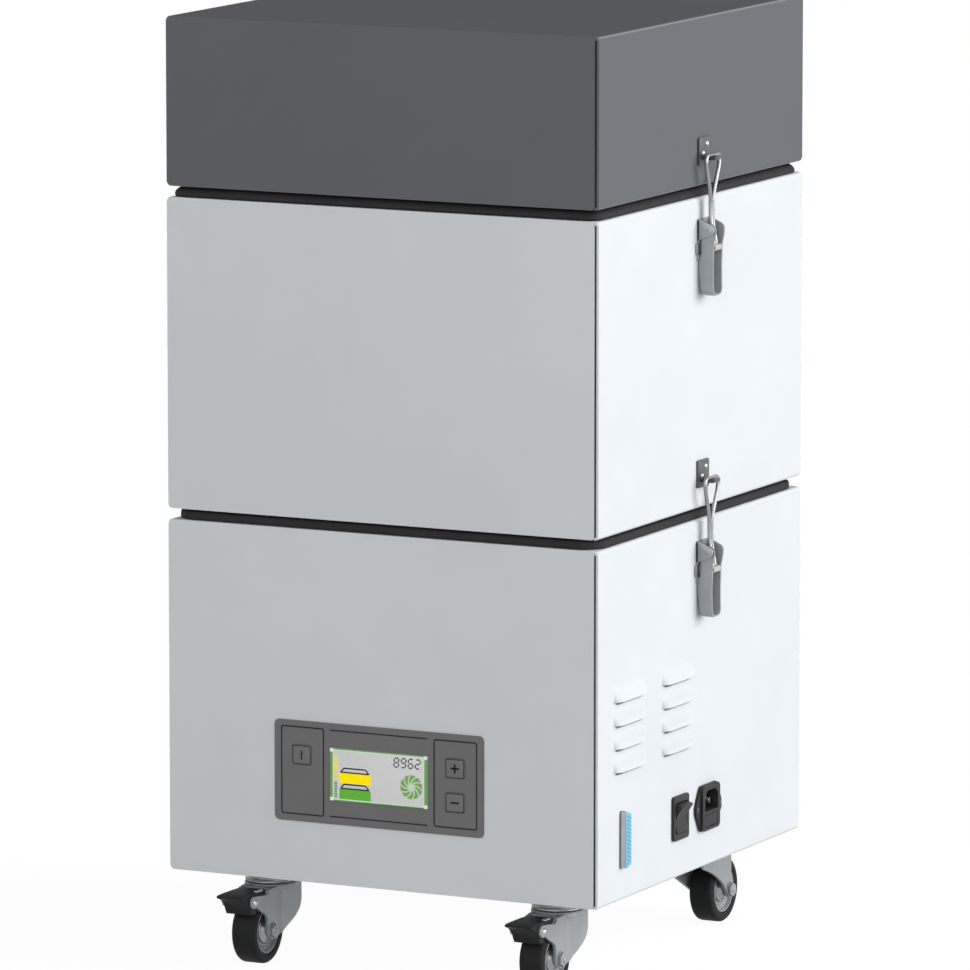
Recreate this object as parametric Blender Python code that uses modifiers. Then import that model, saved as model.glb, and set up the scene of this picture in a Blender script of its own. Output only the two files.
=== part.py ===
"""Portable extraction air filter on castors: a lid module, a filter module and a blower base,
stacked on rubber seals and held together by four toggle latches.

Lengths are metres. Z is up, the front faces -Y, and the origin is on the floor below the
middle of the cabinet.
"""

from math import asin, cos, pi, radians, sin

import bmesh
import bpy
from mathutils import Matrix, Vector

# Cabinet
CASE_WIDTH = 0.3500
CASE_DEPTH = 0.3500
CASTOR_HEIGHT = 0.0706
BASE_HEIGHT = 0.2613
FILTER_HEIGHT = 0.2296
LID_HEIGHT = 0.1243
SEAL_GAP = 0.0082
SHEET = 0.0012
FRONT_RETURN = 0.0120
BEND_RADIUS = 0.0018
SIDE_HEM = 0.0011
SEAM_WIDTH = 0.0013
FRONT_DEPTH = 0.0033
FRONT_EDGE_RADIUS = 0.0014
SEAM_TOP_END = 0.0028
SEAM_BOTTOM_END = 0.0022
LID_FLANGE = 0.0160
FILTER_TOP_FLANGE = 0.0160
FILTER_BOTTOM_FLANGE = 0.0290
BASE_TOP_FLANGE = 0.0260
BASE_BOTTOM_FLANGE = 0.0120
FLOOR_THICKNESS = 0.0020

# Clearances
GAP = 0.0003
OVERRUN = 0.0020
WELD_DISTANCE = 0.00001

# Seals
UPPER_SEAL_INSET = 0.0065
UPPER_SEAL_CORNER = 0.0085
LOWER_SEAL_INSET = 0.0105
LOWER_SEAL_WIDTH = 0.0140
LOWER_SEAL_CORNER = 0.0250

# Filters
CASSETTE_MARGIN = 0.0225
CASSETTE_HEIGHT = 0.1650
CASSETTE_RIM = 0.0120
CASSETTE_RECESS = 0.0060
CASSETTE_EDGE = 0.0020
MAT_HEIGHT = 0.0460
MAT_EDGE = 0.0040

# Blower
BLOWER_PLATE = 0.0020
INTAKE_EYE_RADIUS = 0.0600
SCROLL_WALL = 0.0020
SCROLL_HEIGHT = 0.0620
SCROLL_OUTLET_WIDTH = 0.0900
SCROLL_OUTLET_HEIGHT = 0.0440
IMPELLER_RADIUS = 0.1000
IMPELLER_DISC = 0.0030
IMPELLER_RING = 0.0020
IMPELLER_BLADE_HEIGHT = 0.0360
IMPELLER_BLADE = 0.0022
IMPELLER_CLEARANCE = 0.0060
IMPELLER_ROOM = 0.0130
SCROLL_RADIUS = IMPELLER_RADIUS + IMPELLER_ROOM + SCROLL_WALL
IMPELLER_BLADES = 9
HUB_RADIUS = 0.0200
SHAFT_RADIUS = 0.0060
SHAFT_DEPTH = 0.0150
MOTOR_RADIUS = 0.0440
MOTOR_HEIGHT = 0.0560
MOTOR_FLANGE_RADIUS = 0.0560
MOTOR_FLANGE = 0.0040
MOTOR_HUB_WELL_RADIUS = 0.0230

# Hose socket in the back of the lid
SOCKET_BORE_RADIUS = 0.0375
SOCKET_WALL = 0.0025
SOCKET_REACH_OUT = 0.0150
SOCKET_REACH_IN = 0.0200
SOCKET_FLANGE_RADIUS = 0.0520
SOCKET_FLANGE = 0.0030

# Exhaust slots in the back of the base
EXHAUST_SLOT_WIDTH = 0.0700
EXHAUST_SLOT_HEIGHT = 0.0050
EXHAUST_PITCH_X = 0.0820
EXHAUST_PITCH_Z = 0.0110
EXHAUST_COLUMNS = 3
EXHAUST_ROWS = 7
EXHAUST_BOTTOM = 0.1500

# Louvres in the right side of the base
LOUVRE_LENGTH = 0.0520
LOUVRE_HEIGHT = 0.0115
LOUVRE_REACH = 0.0048
LOUVRE_SKIN = 0.0010
LOUVRE_ROUND = 0.0090
LOUVRE_STEPS = 3
LOUVRE_FLATNESS = 1.0
LOUVRE_PITCH_Z = 0.0172
LOUVRE_LOWEST = 0.0961
LOUVRE_ROWS = 4
LOUVRE_FRONT_COLUMN = -0.1228
LOUVRE_REAR_COLUMN = -0.0413

# Control panel in the front of the base
PANEL_WIDTH = 0.1708
PANEL_HEIGHT = 0.0748
PANEL_BOTTOM = 0.0450
PANEL_PROUD = 0.0012
PANEL_MIDDLE = -0.0016
PANEL_CORNER = 0.0032
PANEL_FLANGE = 0.0064
PANEL_BODY_DEPTH = 0.0090
DISPLAY_WIDTH = 0.0802
DISPLAY_HEIGHT = 0.0394
DISPLAY_BOTTOM = 0.0175
DISPLAY_DEPTH = 0.0016
DISPLAY_MIDDLE = -0.0015
KEY_WIDTH = 0.0156
KEY_HEIGHT = 0.0145
KEY_PROUD = 0.0006
KEY_DEPTH = 0.0035
KEY_TRAVEL = 0.0010
KEY_CORNER = 0.0020
POWER_KEY_X = -0.0644
SETTING_KEY_X = 0.0608
UPPER_KEY_Z = 0.0495
LOWER_KEY_Z = 0.0243

# Mains switch, mains inlet and signal connector in the right side of the base
ELECTRICS_Z = 0.0451
SWITCH_Y = -0.0380
SWITCH_WIDTH = 0.0256
SWITCH_HEIGHT = 0.0330
SWITCH_PROUD = 0.0025
SWITCH_CORNER = 0.0020
SWITCH_DEPTH = 0.0160
SWITCH_FRAME_WALL = 0.0030
ROCKER_TILT = radians(12.0)
ROCKER_HORN = 0.0042
ROCKER_DISH = 0.0012
ROCKER_AXIS_DEPTH = 0.0010
INLET_Y = 0.0096
INLET_EAR_REACH = 0.0220
INLET_WIDTH = 0.0310
INLET_HEIGHT = 0.0345
INLET_FLANGE = 0.0025
INLET_BODY_PROUD = 0.0045
INLET_BODY_WIDTH = 0.0298
INLET_BODY_HEIGHT = 0.0334
INLET_DEPTH = 0.0200
INLET_SOCKET_WIDTH = 0.0224
INLET_SOCKET_HEIGHT = 0.0155
INLET_SOCKET_DEPTH = 0.0160
INLET_SOCKET_CHAMFER = 0.0042
INLET_SOCKET_RAISE = 0.0054
INLET_PIN_RECESS = 0.0060
INLET_PIN_WIDTH = 0.0040
INLET_PIN_THICKNESS = 0.0020
INLET_PIN_SPREAD = 0.0070
INLET_PIN_RISE = 0.0020
FUSE_WIDTH = 0.0210
FUSE_HEIGHT = 0.0090
FUSE_DROP = 0.0095
FUSE_DEPTH = 0.0140
CONNECTOR_INSET = 0.0415
CONNECTOR_LENGTH = 0.0416
CONNECTOR_WIDTH = 0.0092
CONNECTOR_PROUD = 0.0052
CONNECTOR_WALL = 0.0009
CONNECTOR_SLANT = 0.0012
CONNECTOR_DEPTH = 0.0080
CONNECTOR_RECESS = 0.0004

# Toggle latches, measured out from the side wall and up from the lower box's top edge
WIRE_RADIUS = 0.0015
CATCH_WIDTH = 0.0186
CATCH_BOTTOM = 0.0238
CATCH_TOP = 0.0442
CATCH_SHEET = 0.0015
HOOK_WIDTH = 0.0100
HOOK_LIP = 0.0010
HOOK_LIP_CLEARANCE = 0.0019
BAIL_TOP_OUT = 0.0082
BAIL_TOP_UP = 0.0310
BAIL_TOP_HALF_WIDTH = 0.0112
BAIL_LEG_HALF_GAP = 0.0019
BAIL_JOIN_UP = -0.0010
BAIL_PIN_OUT = 0.0107
BAIL_PIN_UP = -0.0364
PIVOT_OUT = 0.0095
PIVOT_UP = -0.0235
PIVOT_RADIUS = 0.0020
LEVER_WIDTH = 0.0160
LEVER_SHEET = 0.0014
LEVER_OUTSIDE = 0.0126
LEVER_INSIDE = 0.0008
LEVER_BOTTOM = -0.0720
LEVER_HEAD_RADIUS = 0.0050
LEVER_TAIL_RADIUS = 0.0055
LEVER_SHOULDER = -0.0335
WEB_TOP = -0.0430
WEB_RECESS = 0.0008
BRACKET_SHEET = 0.0014
LATCH_Y = -0.0007
LEVER_NOTCH = 0.0040
LEVER_HIP = -0.0475
BAIL_SAG = 0.0034
SLEEVE_RADIUS = 0.0022
BRACKET_TOP = -0.0155
BRACKET_BOTTOM = -0.0460
EAR_BOTTOM = -0.0300
EAR_HEAD_RADIUS = 0.0042
WING_REACH = 0.0026
WING_TOP = -0.0320
WING_BOTTOM = -0.0408
LATCH_HOLE_RADIUS = 0.0014
SCREW_PLACES = ((0.0040, 0.0400), (-0.0025, 0.0325))

# Castors, measured down from the underside of the base
CASTOR_INSET_X = 0.0569
CASTOR_INSET_Y = 0.0511
CASTOR_TRAIL = 0.0214
TYRE_RADIUS = 0.0250
TYRE_WIDTH = 0.0190
TYRE_SHOULDER = 0.0034
RIM_RADIUS = 0.0174
RIM_WIDTH = 0.0176
HUB_HALF_LENGTH = 0.0112
WHEEL_HUB_RADIUS = 0.0066
WEB_HALF_THICKNESS = 0.0040
AXLE_RADIUS = 0.0036
AXLE_HEAD_RADIUS = 0.0055
AXLE_HEAD_REACH = 0.0174
LEG_INSIDE = 0.0116
LEG_SHEET = 0.0022
RACEWAY_RADIUS = 0.0195
RACEWAY_TOP = 0.0072
RACEWAY_DEPTH = 0.0118
SWIVEL_BOSS_RADIUS = 0.0150
CROWN_TOP = 0.0122
CROWN_DEPTH = 0.0040
STUD_RADIUS = 0.0050
STUD_NUT_RADIUS = 0.0085
STUD_NUT_HEIGHT = 0.0080
LEG_BACK = 0.0225
LEG_FRONT = 0.0288
PLAIN_LEG_FRONT = 0.0235
BOSS_RADIUS = 0.0065
LUG_RADIUS = 0.0050
PEDAL_PIVOT_Y = 0.0490
PEDAL_PIVOT_DROP = 0.0200
PEDAL_PIN_RADIUS = 0.0020
PEDAL_HALF_WIDTH = 0.0106
PEDAL_REACH = 0.0661
PEDAL_TOP_DROP = 0.0140

# Numbers of facets
WHEEL_FACETS = 28
ROUND_FACETS = 24
SMALL_FACETS = 8

# Levels and half sizes that follow from the sizes above
HALF_WIDTH = CASE_WIDTH / 2
HALF_DEPTH = CASE_DEPTH / 2
ROOM_FRONT = FRONT_DEPTH + SHEET - HALF_DEPTH
BASE_BOTTOM = CASTOR_HEIGHT
BASE_TOP = BASE_BOTTOM + BASE_HEIGHT
FILTER_BOTTOM = BASE_TOP + SEAL_GAP
FILTER_TOP = FILTER_BOTTOM + FILTER_HEIGHT
LID_BOTTOM = FILTER_TOP + SEAL_GAP
LID_TOP = LID_BOTTOM + LID_HEIGHT
FLOOR_BOTTOM = BASE_BOTTOM + SHEET + GAP
FLOOR_TOP = FLOOR_BOTTOM + FLOOR_THICKNESS
PANEL_BODY_HALF_WIDTH = PANEL_WIDTH / 2 - PANEL_FLANGE
PANEL_BODY_HALF_HEIGHT = PANEL_HEIGHT / 2 - PANEL_FLANGE
CASTOR_X = HALF_WIDTH - CASTOR_INSET_X
CASTOR_Y = HALF_DEPTH - CASTOR_INSET_Y
CONNECTOR_Y = CONNECTOR_INSET - HALF_DEPTH

# Colours as (red, green, blue), then roughness and metallic share
SLATE_PAINT = ((0.118, 0.130, 0.138), 0.50, 0.0)
LIGHT_PAINT = ((0.560, 0.590, 0.610), 0.45, 0.0)
BLACK_RUBBER = ((0.028, 0.028, 0.030), 0.75, 0.0)
TYRE_RUBBER = ((0.024, 0.024, 0.024), 0.80, 0.0)
BLACK_PLASTIC = ((0.040, 0.040, 0.042), 0.45, 0.0)
PEDAL_PLASTIC = ((0.020, 0.020, 0.020), 0.55, 0.0)
PANEL_FILM = ((0.140, 0.140, 0.140), 0.55, 0.0)
DISPLAY_FILM = ((0.600, 0.610, 0.590), 0.30, 0.0)
ZINC_STEEL = ((0.420, 0.430, 0.440), 0.38, 0.9)
NICKEL_WIRE = ((0.620, 0.620, 0.610), 0.22, 1.0)
HUB_STEEL = ((0.480, 0.490, 0.500), 0.35, 0.9)
CAST_ALUMINIUM = ((0.520, 0.530, 0.540), 0.45, 0.9)
FILTER_CARD = ((0.610, 0.600, 0.560), 0.85, 0.0)
FILTER_FLEECE = ((0.720, 0.730, 0.720), 0.95, 0.0)


def clear_scene():
    for obj in list(bpy.data.objects):
        bpy.data.objects.remove(obj, do_unlink=True)


def new_collection(name):
    collection = bpy.data.collections.new(name)
    bpy.context.scene.collection.children.link(collection)
    return collection


def paint(name, look):
    """A Principled material from a colour, a roughness and a metallic share."""
    colour, roughness, metallic = look
    material = bpy.data.materials.get(name) or bpy.data.materials.new(name)
    material.use_nodes = True
    shader = material.node_tree.nodes["Principled BSDF"]
    shader.inputs["Base Color"].default_value = (*colour, 1.0)
    shader.inputs["Roughness"].default_value = roughness
    shader.inputs["Metallic"].default_value = metallic
    return material


def add_object(name, mesh, collection):
    obj = bpy.data.objects.new(name, mesh)
    collection.objects.link(obj)
    return obj


def mesh_object(name, bm, collection):
    mesh = bpy.data.meshes.new(name)
    bm.to_mesh(mesh)
    bm.free()
    return add_object(name, mesh, collection)


def block(name, low, high, collection, bevel=0.0, segments=2):
    """A box between two corners, with its edges rounded where a bevel is given."""
    bm = bmesh.new()
    bmesh.ops.create_cube(bm, size=1.0)
    low, high = Vector(low), Vector(high)
    bmesh.ops.transform(bm, matrix=Matrix.Diagonal((*(high - low), 1.0)), verts=bm.verts)
    bmesh.ops.translate(bm, vec=(low + high) / 2, verts=bm.verts)
    obj = mesh_object(name, bm, collection)
    if bevel:
        add_bevel(obj, bevel, segments)
    return obj


def add_bevel(obj, width, segments):
    bevel = obj.modifiers.new("rounded edges", "BEVEL")
    bevel.width = width
    bevel.segments = segments
    bevel.limit_method = "ANGLE"
    bevel.use_clamp_overlap = True
    return bevel


def cylinder(name, start, end, radius, facets, collection):
    """A solid round bar from one point to another."""
    start, end = Vector(start), Vector(end)
    bm = bmesh.new()
    length = (end - start).length
    bmesh.ops.create_cone(
        bm, cap_ends=True, segments=facets, radius1=radius, radius2=radius, depth=length
    )
    turn = Vector((0, 0, 1)).rotation_difference(end - start).to_matrix().to_4x4()
    place = Matrix.Translation((start + end) / 2) @ turn
    bmesh.ops.transform(bm, matrix=place, verts=bm.verts)
    return mesh_object(name, bm, collection)


def turned(name, profile, facets, collection, closed=False):
    """A profile of (radius, height) points, listed down its outer side and screwed round Z."""
    mesh = bpy.data.meshes.new(name)
    points = [(radius, 0.0, height) for radius, height in profile]
    edges = [(i, i + 1) for i in range(len(points) - 1)]
    if closed:
        edges.append((len(points) - 1, 0))
    mesh.from_pydata(points, edges, [])
    obj = add_object(name, mesh, collection)
    screw = obj.modifiers.new("turned", "SCREW")
    screw.steps = facets
    screw.render_steps = facets
    screw.use_merge_vertices = True
    screw.merge_threshold = WELD_DISTANCE
    screw.use_normal_calculate = True
    return obj


def outline(name, points, thickness, collection, holes=()):
    """A flat shape in XY, extruded by half its thickness to each side of Z = 0."""
    curve = bpy.data.curves.new(name, "CURVE")
    curve.dimensions = "2D"
    curve.fill_mode = "BOTH"
    curve.extrude = thickness / 2
    for loop in (points, *holes):
        spline = curve.splines.new("POLY")
        spline.points.add(len(loop) - 1)
        for point, (x, y) in zip(spline.points, loop):
            point.co = (x, y, 0.0, 1.0)
        spline.use_cyclic_u = True
    obj = bpy.data.objects.new(name, curve)
    collection.objects.link(obj)
    return settled(obj)


def wire(name, points, radius, collection, cyclic=False, resolution=2):
    """A round wire or cord along a list of points."""
    curve = bpy.data.curves.new(name, "CURVE")
    curve.dimensions = "3D"
    curve.bevel_depth = radius
    curve.bevel_resolution = resolution
    curve.use_fill_caps = not cyclic
    spline = curve.splines.new("POLY")
    spline.points.add(len(points) - 1)
    for point, place in zip(spline.points, points):
        point.co = (*place, 1.0)
    spline.use_cyclic_u = cyclic
    obj = bpy.data.objects.new(name, curve)
    collection.objects.link(obj)
    return settled(obj)


def settled(obj):
    """The object with its modifiers or its curve made into a plain closed mesh."""
    bpy.context.view_layer.update()
    graph = bpy.context.evaluated_depsgraph_get()
    mesh = bpy.data.meshes.new_from_object(obj.evaluated_get(graph))
    bm = bmesh.new()
    bm.from_mesh(mesh)
    bmesh.ops.remove_doubles(bm, verts=bm.verts, dist=WELD_DISTANCE)
    bmesh.ops.recalc_face_normals(bm, faces=bm.faces)
    bm.to_mesh(mesh)
    bm.free()
    name, home, place = obj.name, obj.users_collection[0], obj.matrix_world.copy()
    bpy.data.objects.remove(obj, do_unlink=True)
    mesh.name = name
    plain = add_object(name, mesh, home)
    plain.matrix_world = place
    return plain


def moved(obj, matrix):
    """The settled object with its mesh carried by a matrix."""
    obj.data.transform(matrix)
    if matrix.determinant() < 0:
        obj.data.flip_normals()
    return obj


def joined(name, pieces, collection):
    """Several closed meshes in one object, to serve as one Boolean operand."""
    bm = bmesh.new()
    for piece in pieces:
        bm.from_mesh(piece.data)
        bpy.data.objects.remove(piece, do_unlink=True)
    return mesh_object(name, bm, collection)


def combine(obj, other, operation):
    """A live Boolean, with the other object kept as a hidden cutter."""
    boolean = obj.modifiers.new(other.name, "BOOLEAN")
    boolean.operation = operation
    boolean.solver = "EXACT"
    boolean.object = other
    other.hide_render = True
    other.display_type = "WIRE"
    return obj


def baked(obj):
    """The object with its Booleans worked out and the cutters they used removed."""
    cutters = [m.object for m in obj.modifiers if m.type == "BOOLEAN"]
    plain = settled(obj)
    for cutter in cutters:
        bpy.data.objects.remove(cutter, do_unlink=True)
    return plain


def united(name, pieces):
    """One body from overlapping pieces, named and settled."""
    first, *rest = pieces
    for piece in rest:
        combine(first, piece, "UNION")
    first.name = name
    return baked(first)


def finish(obj, name, material, parent=None):
    """Names a piece, gives it its material and shades its round faces smooth."""
    obj.name = name
    obj.data.name = name
    obj.data.materials.clear()
    obj.data.materials.append(material)
    obj.data.shade_smooth()
    obj.data.set_sharp_from_angle(angle=radians(35.0))
    if parent:
        obj.parent = parent
    return obj


def placed_copy(name, source, material, parent):
    """A new object that shares the source's mesh and hangs on a parent."""
    if not source.data.materials:
        source.data.materials.append(material)
        source.data.shade_smooth()
        source.data.set_sharp_from_angle(angle=radians(35.0))
    obj = add_object(name, source.data, parts)
    obj.parent = parent
    return obj


def empty(name, location, turn=0.0, parent=None):
    obj = bpy.data.objects.new(name, None)
    parts.objects.link(obj)
    obj.parent = parent
    obj.location = location
    obj.rotation_euler = (0.0, 0.0, turn)
    return obj


def arc(centre, radius, start, end, steps):
    """Points along an arc, with its angles in degrees."""
    for i in range(steps + 1):
        angle = radians(start + (end - start) * i / steps)
        yield (centre[0] + radius * cos(angle), centre[1] + radius * sin(angle))


def rounded_rectangle(half_x, half_y, radius, steps, middle=(0.0, 0.0)):
    """A rectangle's outline with round corners, anticlockwise."""
    points = []
    corners = ((1, -1, -90.0), (1, 1, 0.0), (-1, 1, 90.0), (-1, -1, 180.0))
    for side_x, side_y, start in corners:
        centre = (
            middle[0] + side_x * (half_x - radius),
            middle[1] + side_y * (half_y - radius),
        )
        points += arc(centre, radius, start, start + 90.0, steps)
    return points


# Maps an outline drawn in XY into other planes
FACING_RIGHT = Matrix(((0, 0, 1, 0), (1, 0, 0, 0), (0, 1, 0, 0), (0, 0, 0, 1)))
FACING_FRONT = Matrix(((1, 0, 0, 0), (0, 0, -1, 0), (0, 1, 0, 0), (0, 0, 0, 1)))


def slab(name, points, start, end, plane, collection, holes=()):
    """An outline extruded between two distances along the normal of its plane."""
    shape = outline(name, points, end - start, collection, holes)
    moved(shape, Matrix.Translation((0, 0, (start + end) / 2)))
    return moved(shape, plane)


def folded_box(name, bottom, top, collection, top_flange=None, bottom_flange=None):
    """A folded sheet box, open above or below inside the given flange widths."""
    box = block(
        name,
        (-HALF_WIDTH, -HALF_DEPTH, bottom),
        (HALF_WIDTH, HALF_DEPTH, top),
        collection,
        BEND_RADIUS,
    )
    room = block(
        name + "_room",
        (SHEET - HALF_WIDTH, ROOM_FRONT, bottom + SHEET),
        (HALF_WIDTH - SHEET, HALF_DEPTH - SHEET, top - SHEET),
        cutters,
    )
    combine(box, room, "DIFFERENCE")
    return_way = block(
        name + "_front_way",
        (FRONT_RETURN - HALF_WIDTH, -HALF_DEPTH - OVERRUN, bottom + FRONT_RETURN),
        (HALF_WIDTH - FRONT_RETURN, ROOM_FRONT + OVERRUN, top - FRONT_RETURN),
        cutters,
    )
    combine(box, return_way, "DIFFERENCE")
    for flange, level, label in (
        (top_flange, top, "_upper_way"),
        (bottom_flange, bottom, "_lower_way"),
    ):
        if flange is None:
            continue
        way = block(
            name + label,
            (flange - HALF_WIDTH, flange - HALF_DEPTH, level - SHEET - OVERRUN),
            (HALF_WIDTH - flange, HALF_DEPTH - flange, level + SHEET + OVERRUN),
            cutters,
        )
        combine(box, way, "DIFFERENCE")
    return box


def front_opening(name, bottom, top, open_above):
    """The front sheet's place: the seam beside it closes up near the corners of the box."""
    wide = HALF_WIDTH - SIDE_HEM
    narrow = wide - SEAM_WIDTH + GAP
    low, high = bottom + SEAM_BOTTOM_END, top - SEAM_TOP_END
    foot, head = bottom - OVERRUN, top + OVERRUN
    right = [(narrow, foot), (narrow, low), (wide, low + GAP)]
    if open_above:
        right += [(wide, head)]
    else:
        right += [(wide, high - GAP), (narrow, high), (narrow, head)]
    points = right + [(-x, z) for x, z in right[::-1]]
    return slab(
        name, points, HALF_DEPTH - FRONT_DEPTH, HALF_DEPTH + OVERRUN, FACING_FRONT, cutters
    )


def sheet_pair(name, bottom, top, top_flange, bottom_flange):
    """A module's wrap of side and back sheets, and its front sheet between the side sheets."""
    wrap = folded_box(name + "_wrap", bottom, top, parts, top_flange, bottom_flange)
    opening = front_opening(name + "_front_opening", bottom, top, top_flange is None)
    combine(wrap, opening, "DIFFERENCE")
    half = HALF_WIDTH - SIDE_HEM - SEAM_WIDTH
    front = block(
        name + "_front",
        (-half, -HALF_DEPTH, bottom),
        (half, FRONT_DEPTH - GAP - HALF_DEPTH, top),
        parts,
        FRONT_EDGE_RADIUS,
    )
    return wrap, front


def make_lid(parent):
    slate = paint("slate_paint", SLATE_PAINT)
    lid, front = sheet_pair("lid", LID_BOTTOM, LID_TOP, None, LID_FLANGE)
    hole = cylinder(
        "lid_socket_hole",
        (0, HALF_DEPTH - SHEET - OVERRUN, (LID_BOTTOM + LID_TOP) / 2),
        (0, HALF_DEPTH + OVERRUN, (LID_BOTTOM + LID_TOP) / 2),
        SOCKET_BORE_RADIUS + SOCKET_WALL + GAP,
        ROUND_FACETS,
        cutters,
    )
    combine(lid, hole, "DIFFERENCE")
    finish(lid, "lid_shell", slate, parent)
    finish(front, "lid_front", slate, parent)


def make_hose_socket(parent):
    """A moulded socket through the back wall, with a flange against the sheet."""
    bore = SOCKET_BORE_RADIUS
    wall = bore + SOCKET_WALL
    seat = GAP
    profile = (
        (bore + SOCKET_WALL / 2, SOCKET_REACH_OUT),
        (wall, SOCKET_REACH_OUT - SOCKET_WALL / 2),
        (wall, seat + SOCKET_FLANGE),
        (SOCKET_FLANGE_RADIUS - SOCKET_WALL / 2, seat + SOCKET_FLANGE),
        (SOCKET_FLANGE_RADIUS, seat + SOCKET_FLANGE / 2),
        (SOCKET_FLANGE_RADIUS, seat),
        (wall, seat),
        (wall, -SOCKET_REACH_IN),
        (bore, -SOCKET_REACH_IN),
        (bore, SOCKET_REACH_OUT),
    )
    socket = settled(turned("hose_socket", profile, ROUND_FACETS, parts, closed=True))
    moved(socket, Matrix.Rotation(radians(-90.0), 4, "X"))
    moved(socket, Matrix.Translation((0, HALF_DEPTH, (LID_BOTTOM + LID_TOP) / 2)))
    finish(socket, "hose_socket", paint("black_plastic", BLACK_PLASTIC), parent)


def make_seals(parent):
    """The upper seal is a round cord, the lower one a flat strip with wide corners."""
    radius = SEAL_GAP / 2 - GAP
    inset = UPPER_SEAL_INSET + radius
    path = rounded_rectangle(
        HALF_WIDTH - inset, HALF_DEPTH - inset, UPPER_SEAL_CORNER, 4
    )
    level = FILTER_TOP + SEAL_GAP / 2
    points = [(x, y, level) for x, y in path]
    cord = wire("upper_seal", points, radius, parts, cyclic=True)
    rubber = paint("black_rubber", BLACK_RUBBER)
    finish(cord, "upper_seal", rubber, parent)

    outside = rounded_rectangle(
        HALF_WIDTH - LOWER_SEAL_INSET, HALF_DEPTH - LOWER_SEAL_INSET, LOWER_SEAL_CORNER, 8
    )
    inner_inset = LOWER_SEAL_INSET + LOWER_SEAL_WIDTH
    inside = rounded_rectangle(
        HALF_WIDTH - inner_inset,
        HALF_DEPTH - inner_inset,
        LOWER_SEAL_CORNER - LOWER_SEAL_WIDTH,
        6,
    )
    strip = slab(
        "lower_seal",
        outside,
        BASE_TOP + GAP,
        FILTER_BOTTOM - GAP,
        Matrix.Identity(4),
        parts,
        holes=(inside,),
    )
    finish(strip, "lower_seal", rubber, parent)


def make_filter_module(parent):
    light = paint("light_paint", LIGHT_PAINT)
    flanges = (FILTER_TOP_FLANGE, FILTER_BOTTOM_FLANGE)
    wrap, front = sheet_pair("filter_box", FILTER_BOTTOM, FILTER_TOP, *flanges)
    finish(wrap, "filter_box_shell", light, parent)
    finish(front, "filter_box_front", light, parent)

    seat = FILTER_BOTTOM + SHEET + GAP
    wide = HALF_WIDTH - CASSETTE_MARGIN
    deep = HALF_DEPTH - CASSETTE_MARGIN
    cassette_top = seat + CASSETTE_HEIGHT
    cassette = block(
        "filter_cassette",
        (-wide, -deep, seat),
        (wide, deep, cassette_top),
        parts,
        CASSETTE_EDGE,
    )
    inner_wide = wide - CASSETTE_RIM
    inner_deep = deep - CASSETTE_RIM
    for label, low, high in (
        ("cassette_upper_face", cassette_top - CASSETTE_RECESS, cassette_top + OVERRUN),
        ("cassette_lower_face", seat - OVERRUN, seat + CASSETTE_RECESS),
    ):
        recess = block(
            label, (-inner_wide, -inner_deep, low), (inner_wide, inner_deep, high), cutters
        )
        combine(cassette, recess, "DIFFERENCE")
    finish(cassette, "filter_cassette", paint("filter_card", FILTER_CARD), parent)

    mat_bottom = cassette_top + GAP
    mat = block(
        "prefilter_mat",
        (-wide, -deep, mat_bottom),
        (wide, deep, mat_bottom + MAT_HEIGHT),
        parts,
        MAT_EDGE,
    )
    finish(mat, "prefilter_mat", paint("filter_fleece", FILTER_FLEECE), parent)


def hull(name, points, collection):
    """The smallest convex solid round a list of points."""
    bm = bmesh.new()
    for point in points:
        bm.verts.new(point)
    made = bmesh.ops.convex_hull(bm, input=bm.verts[:])
    spare = {v for v in made["geom_unused"] + made["geom_interior"] if v.is_valid}
    bmesh.ops.delete(bm, geom=list(spare), context="VERTS")
    bmesh.ops.dissolve_limit(
        bm, angle_limit=radians(LOUVRE_FLATNESS), verts=bm.verts[:], edges=bm.edges[:]
    )
    bmesh.ops.recalc_face_normals(bm, faces=bm.faces[:])
    return mesh_object(name, bm, collection)


def louvre(name, column, lip, skin, back):
    """One hood: full outside at skin 0, its hollow at the skin's thickness."""
    half = LOUVRE_LENGTH / 2 - skin
    top = LOUVRE_HEIGHT - skin
    reach = LOUVRE_REACH - skin
    foot = -skin / 2
    wall = HALF_WIDTH - SHEET / 2
    upright, level = [], []
    for side in (-1, 1):
        across = side * (half - LOUVRE_ROUND)
        for y, z in arc((0.0, 0.0), 1.0, 0.0, 90.0, LOUVRE_STEPS):
            upright.append((across + side * LOUVRE_ROUND * y, top - LOUVRE_ROUND * (1 - z)))
        for y, x in arc((0.0, 0.0), 1.0, 0.0, 90.0, LOUVRE_STEPS):
            level.append((across + side * LOUVRE_ROUND * y, reach * x))
        upright.append((side * half, foot))
    points = [(wall, column + y, lip + z) for y, z in upright]
    points += [(wall + x, column + y, lip + foot) for y, x in level]
    if back:
        points += [(wall - back, column + y, lip + z) for y, z in upright]
    return hull(name, points, cutters)


def louvre_set(name, skin, back):
    hoods = []
    for row in range(LOUVRE_ROWS):
        for column in (LOUVRE_FRONT_COLUMN, LOUVRE_REAR_COLUMN):
            lip = BASE_BOTTOM + LOUVRE_LOWEST + row * LOUVRE_PITCH_Z
            hoods.append(louvre(name, column, lip, skin, back))
    return joined(name, hoods, cutters)


def add_louvres(wrap):
    """Pressed hoods that open downwards, with the sheet cut away behind them."""
    combine(wrap, louvre_set("louvre_hoods", 0.0, 0.0), "UNION")
    combine(wrap, louvre_set("louvre_hollows", LOUVRE_SKIN, SHEET + OVERRUN), "DIFFERENCE")


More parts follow.
